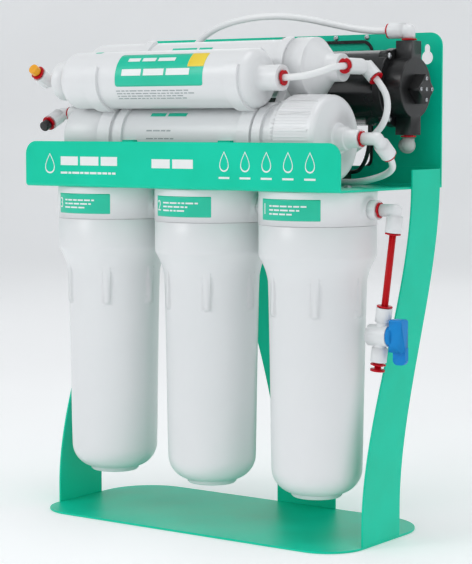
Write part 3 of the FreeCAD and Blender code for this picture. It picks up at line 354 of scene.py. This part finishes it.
# %% [markdown]
# ## Use the tree
# A spot is (place, aim, along, size). The helper makes the cloud of points, puts the tree on it
# as a modifier, and sets each input by its socket's identifier, because names may repeat. Then it
# turns what the tree gives into a plain mesh and lets the modifier go. Places are in
# millimetres, as on a drawing, and the helper turns them into metres.

# %% The setting-out helper
MM = 0.001


def set_out(name, shape, spots, material, sharp=35):
    """Puts shape on every spot and returns the result as one plain mesh object."""
    cloud = bpy.data.meshes.new(name + "_points")
    cloud.from_pydata([Vector(place) * MM for place, _, _, _ in spots], [], [])
    for index, key in enumerate(("aim", "along", "size"), start=1):
        layer = cloud.attributes.new(key, "FLOAT_VECTOR", "POINT")
        for i, spot in enumerate(spots):
            layer.data[i].vector = spot[index]
    holder = bpy.data.objects.new(name + "_points", cloud)
    bpy.context.scene.collection.objects.link(holder)
    step = holder.modifiers.new("set_out", "NODES")
    step.node_group = SET_OUT
    step[SOCKETS["Shape"]] = shape
    step[SOCKETS["Finish"]] = material
    step[SOCKETS["Overall size"]] = MM
    bpy.context.view_layer.update()
    graph = bpy.context.evaluated_depsgraph_get()
    mesh = bpy.data.meshes.new_from_object(holder.evaluated_get(graph), depsgraph=graph)
    holder.modifiers.remove(step)
    bpy.data.objects.remove(holder)
    mesh.shade_smooth()
    mesh.set_sharp_from_angle(angle=math.radians(sharp))
    piece = bpy.data.objects.new(name, mesh)
    bpy.context.scene.collection.objects.link(piece)
    print(name, len(spots), "spots,", len(mesh.polygons), "faces")
    return piece


def template(name, mesh):
    """An object that only lends its shape to the tree, and goes away at the end."""
    lender = bpy.data.objects.new("lend_" + name, mesh)
    bpy.context.scene.collection.objects.link(lender)
    LENDERS.append(lender)
    return lender


LENDERS = []

# %% [markdown]
# ## Turned shapes
# Screws and rings are turned on a lathe, more or less: an outline goes round an axis. We write
# the outline as (radius, height) pairs and join neighbouring circles with faces. A function of
# the angle may change the radius, which gives notches without any cutting.

# %% The lathe helper
def turned(name, outline, sides=32, swell=None):
    """A closed mesh from an outline about Z. swell(angle, radius) may change the radius."""
    swell = swell or (lambda angle, radius: radius)
    shell = bmesh.new()
    circles = []
    for radius, height in outline:
        circle = []
        for k in range(sides):
            angle = 2 * math.pi * k / sides
            r = swell(angle, radius)
            circle.append(shell.verts.new((r * math.cos(angle), r * math.sin(angle), height)))
        circles.append(circle)
    pairs = list(zip(circles, circles[1:]))
    for low, high in pairs:
        for k in range(sides):
            j = (k + 1) % sides
            shell.faces.new((low[k], low[j], high[j], high[k]))
    if outline[0] != outline[-1]:
        shell.faces.new(list(reversed(circles[0])))
        shell.faces.new(circles[-1])
    else:
        bmesh.ops.remove_doubles(shell, verts=shell.verts, dist=1e-6)
    bmesh.ops.recalc_face_normals(shell, faces=shell.faces)
    mesh = bpy.data.meshes.new(name)
    shell.to_mesh(mesh)
    shell.free()
    return mesh


# %% [markdown]
# ## Screws
# A pan head screw has a domed head with a cross for the driver. The cross has to be real
# geometry, because it catches the light. We turn the head, then cut the cross with a Boolean
# modifier and keep the result as the shape that the tree repeats. Head and shank are unit
# shapes, so the size attribute makes each screw as large as its place needs.

# %% The screw head and shank
def cross_cutter():
    shell = bmesh.new()
    for turn in (0, 90):
        block = bmesh.ops.create_cube(shell, size=1.0)["verts"]
        bmesh.ops.scale(shell, vec=(1.15, 0.26, 1.1), verts=block)
        bmesh.ops.rotate(shell, verts=block, cent=(0, 0, 0),
                         matrix=Matrix.Rotation(math.radians(turn), 3, "Z"))
        bmesh.ops.translate(shell, vec=(0, 0, 1.0), verts=block)
    mesh = bpy.data.meshes.new("cross_cutter")
    shell.to_mesh(mesh)
    shell.free()
    return bpy.data.objects.new("cross_cutter", mesh)


head_mesh = turned("pan_head", [(0.96, 0.0), (1.0, 0.08), (1.0, 0.42), (0.90, 0.68),
                                (0.70, 0.88), (0.40, 0.98), (0.12, 1.0)], 28)
head = template("pan_head", head_mesh)
cutter = cross_cutter()
bpy.context.scene.collection.objects.link(cutter)
cut = head.modifiers.new("cross", "BOOLEAN")
cut.operation, cut.object, cut.solver = "DIFFERENCE", cutter, "EXACT"
cut.use_self = True
bpy.context.view_layer.update()
graph = bpy.context.evaluated_depsgraph_get()
head_cut = bpy.data.meshes.new_from_object(head.evaluated_get(graph), depsgraph=graph)
head.modifiers.remove(cut)
head.data = head_cut
bpy.data.objects.remove(cutter)
shank = template("shank", turned("shank", [(1.0, -1.0), (1.0, 0.0)], 16))
print("screw head has", len(head_cut.polygons), "faces")

# %% [markdown]
# The places of the screws follow the stand's own layout: four over each housing, two for the
# rear leg, four through the back upstand, three for the pump bracket, five on the pump's end cap
# and four on its flange. Every screw is (place, aim, head radius, head height, shank radius and
# length), and a nut is a short, wide shank turned the other way.

# %% Lay out the screws
UP, BACK, RIGHT = (0, 0, 1), (0, 1, 0), (1, 0, 0)
PUMP_Y, PUMP_Z = 55.0, 423.0
screws = [((k * 122.0 + dx, -31.0 + dy, 329.8), UP, 3.8, 2.2, 2.0, 11.0)
          for k in (-1, 0, 1) for dx in (-20, 20) for dy in (-20, 20)]
screws += [((x, 72.0, 329.8), UP, 3.8, 2.2, 2.0, 4.0) for x in (-50, -22)]
screws += [((x, 98.75, z), BACK, 3.2, 2.0, 1.6, 4.0)
           for x, z in ((-150, 338), (-60, 336), (60, 336), (150, 338))]
screws += [((x, 96.75, 473.8), (0, -1, 0), 2.6, 1.8, 1.6, 4.0) for x in (-2, 60, 96)]
screws += [((187, PUMP_Y + dy, PUMP_Z - 1.5 + dz), RIGHT, 1.9, 1.4, 1.2, 1.0)
           for dy, dz in ((0, 0), (-10, 0), (10, 0), (0, 10), (0, -10))]
screws += [((158, PUMP_Y + dy, PUMP_Z + dz), RIGHT, 3.0, 2.4, 1.6, 1.0)
           for dy in (-20, 20) for dz in (-29.5, 29.5)]


def across(aim):
    """A direction at right angles to aim, for a shape whose turn doesn't matter."""
    return (0, 0, 1) if abs(aim[2]) < 0.5 else (1, 0, 0)


heads = [(place, aim, across(aim), (r, r, h)) for place, aim, r, h, _, _ in screws]
shanks = [(place, aim, across(aim), (r, r, length)) for place, aim, _, _, r, length in screws]
nuts = [((x, 72.0, 325.8), (0, 0, -1), (1, 0, 0), (3.6, 3.6, 3.0)) for x in (-50, -22)]
print(len(screws), "screws")

# %% Make the screws
screw_heads = set_out("screw_heads", head, heads, FINISHES["steel"], sharp=25)
screw_shanks = set_out("screw_shanks", shank, shanks + nuts, FINISHES["steel"])
for piece in (screw_heads, screw_shanks):
    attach(piece, "frame")
    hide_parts("screws")

# %% [markdown]
# ## Release rings
# Each push-in fitting holds its tube with a ring of small teeth. Pressing the coloured ring lets
# the tube go, so the ring has a flange that fingers can reach, with three shallow notches. One
# turned shape with notches is enough, and the tree puts it on every port. A ring belongs to the
# body its fitting rides on, so each body gets its own set.

# %% The ring shape
def notched(angle, radius):
    """Takes three shallow bites out of the flange and leaves the sleeve round."""
    if radius < 5.5:
        return radius
    bite = max(0.0, math.cos(3 * angle)) ** 6
    return radius - 1.2 * bite * (radius - 5.3) / 2.0


ring_outline = [(3.3, -8.0), (4.9, -8.0), (4.9, 0.0), (6.9, 0.0), (7.3, 0.35), (7.3, 1.15),
                (6.9, 1.5), (4.6, 1.5), (3.6, 1.2), (3.3, 0.8), (3.3, -8.0)]
ring = template("ring", turned("ring", ring_outline, 48, notched))
print("ring has", len(ring.data.polygons), "faces")

# %% [markdown]
# The ports lie where the CAD fittings end. A ring stands 0.6 mm off the mouth of its fitting when
# a tube is in, and 1.8 mm where it can still be pressed. Directions that lean are worked out
# from their angles, and a ring's foot is its port moved out by that gap.

# %% Lay out the rings
def ring_spot(mouth, out, gap=0.6, scale=1.0):
    out = Vector(out).normalized()
    place = Vector(mouth) + out * gap
    return (place, out, across(out), (scale, scale, 1.0))


TEE_OUT = Vector((1, 0, -1)).normalized()
FEED_OUT = Vector((0, 0.81, -0.587)).normalized()
PUMP_IN_OUT = Vector((-0.6, 0.8, 0)).normalized()
LEFT, FRONT, DOWN = (-1, 0, 0), (0, -1, 0), (0, 0, -1)
frame_ports = [
    ((106, -66, 431), RIGHT), ((149, -27, 442), FRONT),
    (Vector((149, 9, 442)) + TEE_OUT * 14, TEE_OUT), ((176, -43, 375.6), RIGHT),
    (Vector((193, -43, 375.6)) + FEED_OUT * 24, FEED_OUT),
    ((168, 55, 467), UP), ((168, 55, 378.5), DOWN), ((147.5, 55, 476.9), LEFT),
    (Vector((168, 55, 368.4)) + PUMP_IN_OUT * 20, PUMP_IN_OUT),
    ((188, -31, 311), RIGHT), ((-186.5, -31, 311), LEFT), ((-172, -10, 441), LEFT),
    ((-164, -66, 431), LEFT), ((-158, -52, 399), LEFT), ((-158, -34, 352.2), LEFT)]
frame_spots = [ring_spot(mouth, out) for mouth, out in frame_ports]
frame_spots += [ring_spot((x, 52, z), (side, 0, 0), scale=0.85)
                for x, side in ((38, 1), (-22, -1)) for z in (350.5, 337.3)]
LEAN = math.radians(7)
CHAIN = Vector((-math.sin(LEAN), 0, -math.cos(LEAN)))
CHAIN_TOP = Vector((205.5, -31, 311))
chain_spots = [ring_spot(CHAIN_TOP + CHAIN * 20, CHAIN),
               ring_spot(CHAIN_TOP + CHAIN * 89.5, -CHAIN)]
FILTER_OUT = Vector((0, -0.866, 0.5)).normalized()
REJECT_OUT = Vector((0, -0.906, -0.423)).normalized()
loose_rings = {
    "valve_outlet_ring": (CHAIN_TOP + CHAIN * 139.5, CHAIN),
    "filter_port_ring": (Vector((-178, -66, 431)) + FILTER_OUT * 14, FILTER_OUT),
    "reject_port_ring": (Vector((-171, -52, 399)) + REJECT_OUT * 20, REJECT_OUT)}
print(len(frame_spots) + len(chain_spots) + len(loose_rings), "rings")

# %% Make the rings
def add_rings(node, spots):
    piece = set_out(node + "_finished", ring, spots, FINISHES["red_plastic"], sharp=30)
    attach(piece, body_of[node])
    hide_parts(node)


add_rings("fitting_rings", frame_spots)
add_rings("chain_rings", chain_spots)
for node, (mouth, out) in loose_rings.items():
    add_rings(node, [ring_spot(mouth, out, gap=1.8, scale=0.985)])

# %% [markdown]
# ## Grip ribs on the membrane cap
# The cap of the membrane housing unscrews by hand or with a wrench, so it has fine ribs all
# round. A few broad ribs are already part of its shape. The tree adds the narrow ones between
# them, each a slim bar with softened ends.

# %% Ribs round the cap
def slim_bar(name, soft=0.18):
    """A bar 1 by 1 by 1, centred in X and Y on its foot, with softened upper edges."""
    shell = bmesh.new()
    bmesh.ops.create_cube(shell, size=1.0)
    bmesh.ops.translate(shell, vec=(0, 0, 0.5), verts=shell.verts)
    top = [e for e in shell.edges if all(v.co.z > 0.9 for v in e.verts)]
    bmesh.ops.bevel(shell, geom=top, offset=soft, segments=2, affect="EDGES", profile=0.5)
    mesh = bpy.data.meshes.new(name)
    shell.to_mesh(mesh)
    shell.free()
    return mesh


bar = template("bar", slim_bar("bar"))
cap_spots = []
for k in range(80):
    if k % 5 == 0:
        continue
    a = math.radians(360 / 80 * k + 11)
    out = Vector((0, -math.sin(a), math.cos(a)))
    cap_spots.append((Vector((124.5, -43, 375.6)) + out * 39.6, out, RIGHT, (35, 1.0, 0.85)))
cap_ribs = set_out("cap_grip_ribs", bar, cap_spots, FINISHES["white_plastic"])
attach(cap_ribs, "frame")

# %% [markdown]
# ## Printed labels
# Labels are thin film, so each is a strip that follows its round housing a tenth of a millimetre
# above it. The strip is built column by column: along the label its half height grows from
# nothing at a rounded end to full height, and every column is bent round the housing's axis.

# %% The label helper
def film(name, length, height, corner, put, columns=40, rows=12):
    """A rounded strip, bent by put(u, v), which gives the place of a flat point."""
    us = [length * 0.5 * math.sin(math.pi * (i / columns - 0.5)) for i in range(columns + 1)]
    verts, faces = [], []
    for u in us:
        inset = length / 2 - abs(u)
        half = height / 2
        if inset < corner:
            half -= corner - math.sqrt(max(0.0, corner ** 2 - (corner - inset) ** 2))
        half = max(half, 0.02)
        verts += [put(u, half * (2 * j / rows - 1)) * MM for j in range(rows + 1)]
    for i in range(columns):
        for j in range(rows):
            a = i * (rows + 1) + j
            faces.append((a, a + rows + 1, a + rows + 2, a + 1))
    mesh = bpy.data.meshes.new(name)
    mesh.from_pydata(verts, [], faces)
    mesh.shade_smooth()
    piece = bpy.data.objects.new(name, mesh)
    bpy.context.scene.collection.objects.link(piece)
    return piece


def on_upright(x, y, radius, z, azimuth=0.0):
    """Bends a flat point round an upright cylinder. Azimuth 0 faces the front."""
    def put(u, v):
        a = math.radians(azimuth) + u / radius
        return Vector((x + radius * math.sin(a), y - radius * math.cos(a), z + v))
    return put


def on_lying(x, y, z, radius, angle):
    """Bends a flat point round a cylinder along X. Angle 0 faces the front, 90 faces up."""
    def put(u, v):
        a = math.radians(angle) + v / radius
        return Vector((x + u, y - radius * math.cos(a), z + radius * math.sin(a)))
    return put


# %% Label finishes
LABELS = {
    "teal": finish("label_teal_ink", (paint(20, 196, 160), paint(32, 206, 172)),
                   (0.28, 0.36), 600, 0.03),
    "yellow": finish("label_yellow_ink", (paint(240, 208, 56), paint(248, 220, 76)),
                     (0.30, 0.38), 600, 0.03),
    "white": finish("label_white_ink", (paint(236, 240, 239), paint(246, 248, 247)),
                    (0.34, 0.42), 600, 0.03),
    "grey": finish("label_grey_ink", (paint(150, 160, 162), paint(168, 177, 178)),
                   (0.34, 0.42), 600, 0.03),
}
print(sorted(LABELS))

# %% Stick on the labels
FILTER_X, FILTER_Y, FILTER_Z, FILTER_R = -17.0, -66.0, 431.0, 27.5
label_places = []
for number, x in ((1, 122.0), (2, 0.0), (3, -122.0)):
    label_places.append((f"stage_label_{number}", 66, 19.5, 0.8,
                         on_upright(x, -31, 55.42, 311.2, azimuth=1.5), "teal"))
label_places += [
    ("filter_label", 104, 35, 2.5,
     on_lying(FILTER_X, FILTER_Y, FILTER_Z, FILTER_R + 0.12, 22), "teal"),
    ("filter_sticker", 19, 17, 1.2,
     on_lying(25.5, FILTER_Y, FILTER_Z, FILTER_R + 0.24, 41), "yellow"),
    ("filter_dot", 8, 5, 1.5, on_lying(-104, FILTER_Y, FILTER_Z, FILTER_R + 0.12, 76), "teal")]
labels = {}
for name, length, height, corner, put, ink in label_places:
    piece = film(name, length, height, corner, put)
    piece.data.materials.append(LABELS[ink])
    wall = piece.modifiers.new("film_thickness", "SOLIDIFY")
    wall.thickness, wall.offset = 0.0001, -1.0
    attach(piece, "frame")
    labels[name] = piece
print(len(labels), "labels")

# %% [markdown]
# ## Stand-in print
# The lettering on the real unit isn't copied. Short bars stand in for words, as a layout sketch
# does, and their lengths come from a random generator with a fixed seed so that every run is the
# same. The bars are the same slim bar as the ribs, laid flat by the tree.

# %% The print helper
def words(seed, start, end, long=False):
    """Splits a line into word lengths: a list of (middle, length)."""
    low, high, gap = (14.0, 30.0, 3.0) if long else (2.5, 9.0, 1.3)
    dice = random.Random(seed)
    placed, at = [], start
    while at < end - low:
        length = min(dice.uniform(low, high), end - at)
        placed.append((at + length / 2, length))
        at += length + gap
    return placed


def print_lines(name, put, lines, ink, thickness=0.12, long=False):
    """Lays bars along the lines (seed, start, end, height on the label, bar height)."""
    spots = []
    for seed, start, end, v, tall in lines:
        for middle, length in words(seed, start, end, long):
            here = put(middle, v)
            right = (put(middle + 0.5, v) - put(middle - 0.5, v)).normalized()
            up = (put(middle, v + 0.5) - put(middle, v - 0.5)).normalized()
            spots.append((here, right.cross(up), right, (length, tall, thickness)))
    piece = set_out(name, bar, spots, LABELS[ink])
    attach(piece, "frame")
    return piece


# %% Print on the labels
for number, x in ((1, 122.0), (2, 0.0), (3, -122.0)):
    print_lines(f"stage_print_{number}", on_upright(x, -31, 55.44, 311.2),
                [(number, -19, 22, 3.4, 1.5), (number + 10, -19, 15, -0.2, 1.5),
                 (number + 20, -19, 8, -3.8, 1.5)], "white")
on_filter = on_lying(FILTER_X, FILTER_Y, FILTER_Z, FILTER_R + 0.14, 22)
print_lines("filter_print", on_filter,
            [(31, -40, 16, 9.5, 4.2), (33, -44, 40, -4.0, 6.4)], "white", long=True)
on_filter_low = on_lying(FILTER_X, FILTER_Y, FILTER_Z, FILTER_R + 0.02, -32)
print_lines("filter_small_print", on_filter_low,
            [(41, -52, 34, 4.2, 1.1), (42, -52, 40, 1.4, 1.1), (43, -52, 26, -1.4, 1.1),
             (44, -52, 30, -4.2, 1.1)], "grey")
print_lines("membrane_print", on_lying(-23.5, -43, 375.6, 30.52, 46),
            [(51, -24, 24, 0.0, 4.4)], "teal", long=True)
print_lines("membrane_small_print", on_lying(-31.0, -43, 375.6, 30.52, 5.5),
            [(53, -16, 13, 4.0, 1.4), (54, -16, 17, -3.6, 1.1)], "grey")
print_lines("rear_filter_print", on_lying(-24.6, -10, 441, 27.52, 45),
            [(56, -24, 24, 0.0, 4.4)], "teal", long=True)

# %% [markdown]
# ## Stage numbers
# Each housing is numbered in the order that water passes it, which is as generic as the numbers
# on a dial. A text object gives the shape. It is made a mesh first, and then each of its points
# is bent round the housing, in the same way as the labels.

# %% Number the housings
def numeral(number, put, height=13.0):
    text = bpy.data.curves.new(f"numeral_{number}", "FONT")
    text.body, text.size, text.extrude, text.resolution_u = str(number), height, 0.05, 6
    text.align_x, text.align_y = "CENTER", "CENTER"
    flat = bpy.data.objects.new("flat_numeral", text)
    bpy.context.scene.collection.objects.link(flat)
    bpy.context.view_layer.update()
    mesh = bpy.data.meshes.new_from_object(flat)
    bpy.data.objects.remove(flat)
    shell = bmesh.new()
    shell.from_mesh(mesh)
    bmesh.ops.remove_doubles(shell, verts=shell.verts, dist=1e-5)
    for vert in shell.verts:
        u, v, w = vert.co
        centre = put(u, v)
        out = (put(u + 0.5, v) - put(u - 0.5, v)).cross(Vector((0, 0, 1))).normalized()
        vert.co = (centre + out * w) * MM
    shell.to_mesh(mesh)
    shell.free()
    mesh.materials.clear()
    mesh.materials.append(LABELS["white"])
    piece = bpy.data.objects.new(f"stage_number_{number}", mesh)
    bpy.context.scene.collection.objects.link(piece)
    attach(piece, "frame")
    return piece


for number, x in ((1, 122.0), (2, 0.0), (3, -122.0)):
    numeral(number, on_upright(x, -31, 55.52, 311.2, azimuth=-27.5), 14.5)
print("three numerals")

# %% [markdown]
# ## Marks on the front panel
# The front panel has a printed strip: a block of stand-in words on the left, a larger one in the
# middle and five drop outlines on the right, each with a short bar under it. A drop outline is
# one thin tube bent into a drop, repeated by the tree.

# %% Print on the front panel
def on_panel(u, v):
    """A flat point on the front panel, u along X and v up."""
    return Vector((u, -91.72, v))


print_lines("panel_print", on_panel, [(62, -139, -70, 341.4, 2.0)], "white", 0.15)
print_lines("panel_print_large", on_panel, [(61, -139, -68, 353.0, 8.5), (64, -26, 34, 351.5, 8.5)],
            "white", 0.15, long=True)


def drop_outline():
    """A drop's outline as a thin flat band, 1 high, in the XY plane."""
    shell = bmesh.new()
    loops = []
    for grow, height in ((1.0, 0.0), (1.0, 1.0), (0.86, 1.0), (0.86, 0.0)):
        loop = []
        for k in range(40):
            t = 2 * math.pi * k / 40
            pinch = math.sin(t / 2) ** 1.3
            loop.append(shell.verts.new((0.42 * grow * math.sin(t) * pinch,
                                         0.5 * grow * math.cos(t), height)))
        loops.append(loop)
    for a, b in zip(loops, loops[1:] + loops[:1]):
        for k in range(40):
            j = (k + 1) % 40
            shell.faces.new((a[k], a[j], b[j], b[k]))
    bmesh.ops.remove_doubles(shell, verts=shell.verts, dist=1e-5)
    bmesh.ops.recalc_face_normals(shell, faces=shell.faces)
    mesh = bpy.data.meshes.new("drop_outline")
    shell.to_mesh(mesh)
    shell.free()
    return mesh


drop = template("drop", drop_outline())
DROPS = [58.5 + 23.6 * k for k in range(5)]
drops = set_out("panel_drops", drop, [((x, -91.72, 354.5), FRONT, RIGHT, (17, 19, 0.12))
                                      for x in DROPS], LABELS["white"])
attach(drops, "frame")
under = set_out("panel_drop_bars", bar, [((x, -91.72, 339.4), FRONT, RIGHT, (12, 1.8, 0.12))
                                         for x in DROPS], LABELS["white"])
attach(under, "frame")
mark = set_out("panel_mark", drop, [((-153, -91.72, 350.5), FRONT, RIGHT, (20, 20, 0.15))],
               LABELS["white"])
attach(mark, "frame")

# %% [markdown]
# ## Tubes and the pump's lead
# The water tubes are stiff polyethylene, a quarter of an inch across, and the pump has a short
# black lead. Each is a NURBS curve through the CAD route's own points with a round bevel. The
# order is 3 and the ends are pinned after the points are added, because Blender forgets both
# when points come later.

# %% The routes
def along(corner, direction, distance):
    return tuple(Vector(corner) + Vector(direction).normalized() * distance)


ROUTES = {
    "pump_outlet_tube": [
        (157, 55, 476.9), (133.5, 55, 476.9), (112, 51, 479.3), (88, 46, 484.5), (62, 40, 490.5),
        (36, 34, 493.8), (8, 29, 493), (-20, 26, 488.5), (-44, 25, 480), (-64, 26, 466),
        (-76, 29, 447), (-81, 34, 425), (-80, 40, 402), (-74, 46, 380), (-63, 50, 360),
        (-52, 52, 343.5), (-34.5, 52, 337.3), (-12, 52, 337.3)],
    "link_tube": [
        (96, -66, 431), (121, -66, 431), (139, -58.5, 435), (149, -41, 442), (149, -16, 442)],
    "tank_tube": [
        along((149, 9, 442), TEE_OUT, 4), along((149, 9, 442), TEE_OUT, 27.5), (174, 8, 406.5),
        (171, 6.5, 390.5), (160, 6.5, 378.5), (144, 8.5, 369), (126, 13.5, 360.5), (108, 21, 355),
        (90, 31, 352.2), (71, 42, 351), (51, 52, 350.5), (28, 52, 350.5)],
    "feed_tube": [
        along((193, -43, 375.6), FEED_OUT, 13), along((193, -43, 375.6), FEED_OUT, 40.5),
        (176, 3, 342), (149, 4, 335), (122, 15, 333.6), (98, 30, 334), (75, 43.5, 335.8),
        (51, 52, 337.3), (28, 52, 337.3)],
    "pump_lead": [
        (137, 36, 388), (137, 36, 374), (130, 42, 357), (118, 52, 347), (103, 66, 341.5),
        (86.5, 66, 341.5)],
}
print({name: len(points) for name, points in ROUTES.items()})

# %% Make the tubes
for name, points in ROUTES.items():
    radius = 0.002 if name == "pump_lead" else 0.003175
    line = bpy.data.curves.new(name + "_line", "CURVE")
    line.dimensions, line.resolution_u = "3D", 12
    line.bevel_depth, line.bevel_resolution, line.use_fill_caps = radius, 6, True
    spline = line.splines.new("NURBS")
    spline.points.add(len(points) - 1)
    for point, place in zip(spline.points, points):
        point.co = (*(Vector(place) * MM), 1.0)
    spline.order_u = 3
    spline.use_endpoint_u = True
    line.materials.append(FINISHES[slot_of[name]])
    hose = bpy.data.objects.new(name + "_finished", line)
    bpy.context.scene.collection.objects.link(hose)
    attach(hose, "frame")
    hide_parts(name)
print(len(ROUTES), "tubes and leads")

# %% [markdown]
# ## Clear away the lent shapes
# The templates only lent their shapes to the tree. They aren't part of the unit, so they go.

# %% Remove the templates
for lender in LENDERS:
    bpy.data.objects.remove(lender)
LENDERS.clear()

# %% [markdown]
# ## Floor and light
# The studio is a wide pale dish: a flat floor that curves up into a wall all round, so there is
# no horizon line from any side. The paper carries a painted glow: a faint emission that stands in
# for the light a studio puts on it from behind, and that glow also wraps the white parts in even
# light. Four large lights give soft shadows: the key at the front left, a weaker one for the
# right, one overhead and one behind.

# %% The studio dish
DISH_STEPS = 96        # faces round the dish
FLOOR_DROP = 0.0002    # the paper lies this far under the base plate, in metres
# painted glow: the paper's emission stands in for light on the backdrop, though the paper is no
# lamp
PAPER_PAINTED_GLOW = 0.21      # the paper shines a little, as a lit backdrop does
profile = [(0.0, 0.0), (2.0, 0.0), (5.0, 0.0)]
profile += [(5.0 + 2.0 * math.sin(a), 2.0 - 2.0 * math.cos(a))
            for a in [math.radians(9 * k) for k in range(1, 11)]]
profile += [(7.0, 6.0)]
dish = bmesh.new()
rings = [[dish.verts.new((r * math.cos(t), r * math.sin(t), z - FLOOR_DROP))
          for t in [2 * math.pi * k / DISH_STEPS for k in range(DISH_STEPS)]] if r else
         [dish.verts.new((0, 0, -FLOOR_DROP))] for r, z in profile]
for k in range(DISH_STEPS):
    dish.faces.new((rings[0][0], rings[1][k], rings[1][(k + 1) % DISH_STEPS]))
for low, high in zip(rings[1:], rings[2:]):
    for k in range(DISH_STEPS):
        j = (k + 1) % DISH_STEPS
        dish.faces.new((low[k], high[k], high[j], low[j]))
floor_mesh = bpy.data.meshes.new("studio_floor")
dish.to_mesh(floor_mesh)
dish.free()
floor_mesh.shade_smooth()
floor_mesh.materials.append(finish("pale_paper", (paint(240, 241, 242), paint(246, 247, 248)),
                                   (0.85, 0.95), 300, 0.02, drift=1.5))
paper = floor_mesh.materials[0].node_tree.nodes["Principled BSDF"]
# painted glow: an even emission on the paper that stands in for backdrop light
paper.inputs["Emission Color"].default_value = paint(250, 251, 252)
paper.inputs["Emission Strength"].default_value = PAPER_PAINTED_GLOW
floor = bpy.data.objects.new("studio_floor", floor_mesh)
bpy.context.scene.collection.objects.link(floor)
print("floor with", len(floor_mesh.polygons), "faces")

# %% Hang the lights
def hang(name, place, size, power, aim=(0.0, 0.0, 0.24)):
    """A round soft lamp, its width in metres and its power in watts, turned to the middle."""
    light = bpy.data.lights.new(name, "AREA")
    light.shape, light.size, light.energy = "DISK", size, power
    lamp = bpy.data.objects.new(name, light)
    lamp.location = place
    lamp.rotation_euler = (Vector(aim) - Vector(place)).to_track_quat("-Z", "Y").to_euler()
    bpy.context.scene.collection.objects.link(lamp)


hang("key_light", (-1.3, -2.2, 1.7), size=1.1, power=13)
hang("fill_light", (2.4, -1.3, 1.1), size=1.8, power=4.5)
hang("top_light", (0.2, -0.1, 2.4), size=1.6, power=15)
hang("back_light", (-1.2, 2.2, 1.6), size=1.6, power=3.5)
AIR_GLOW = 0.35        # even light from every side, which softens the shadows
world = bpy.data.worlds.new("studio_air")
world.use_nodes = True
world.node_tree.nodes["Background"].inputs["Color"].default_value = paint(244, 247, 250)
world.node_tree.nodes["Background"].inputs["Strength"].default_value = AIR_GLOW
bpy.context.scene.world = world
bpy.context.scene.view_settings.view_transform = "Standard"
print("four lights")
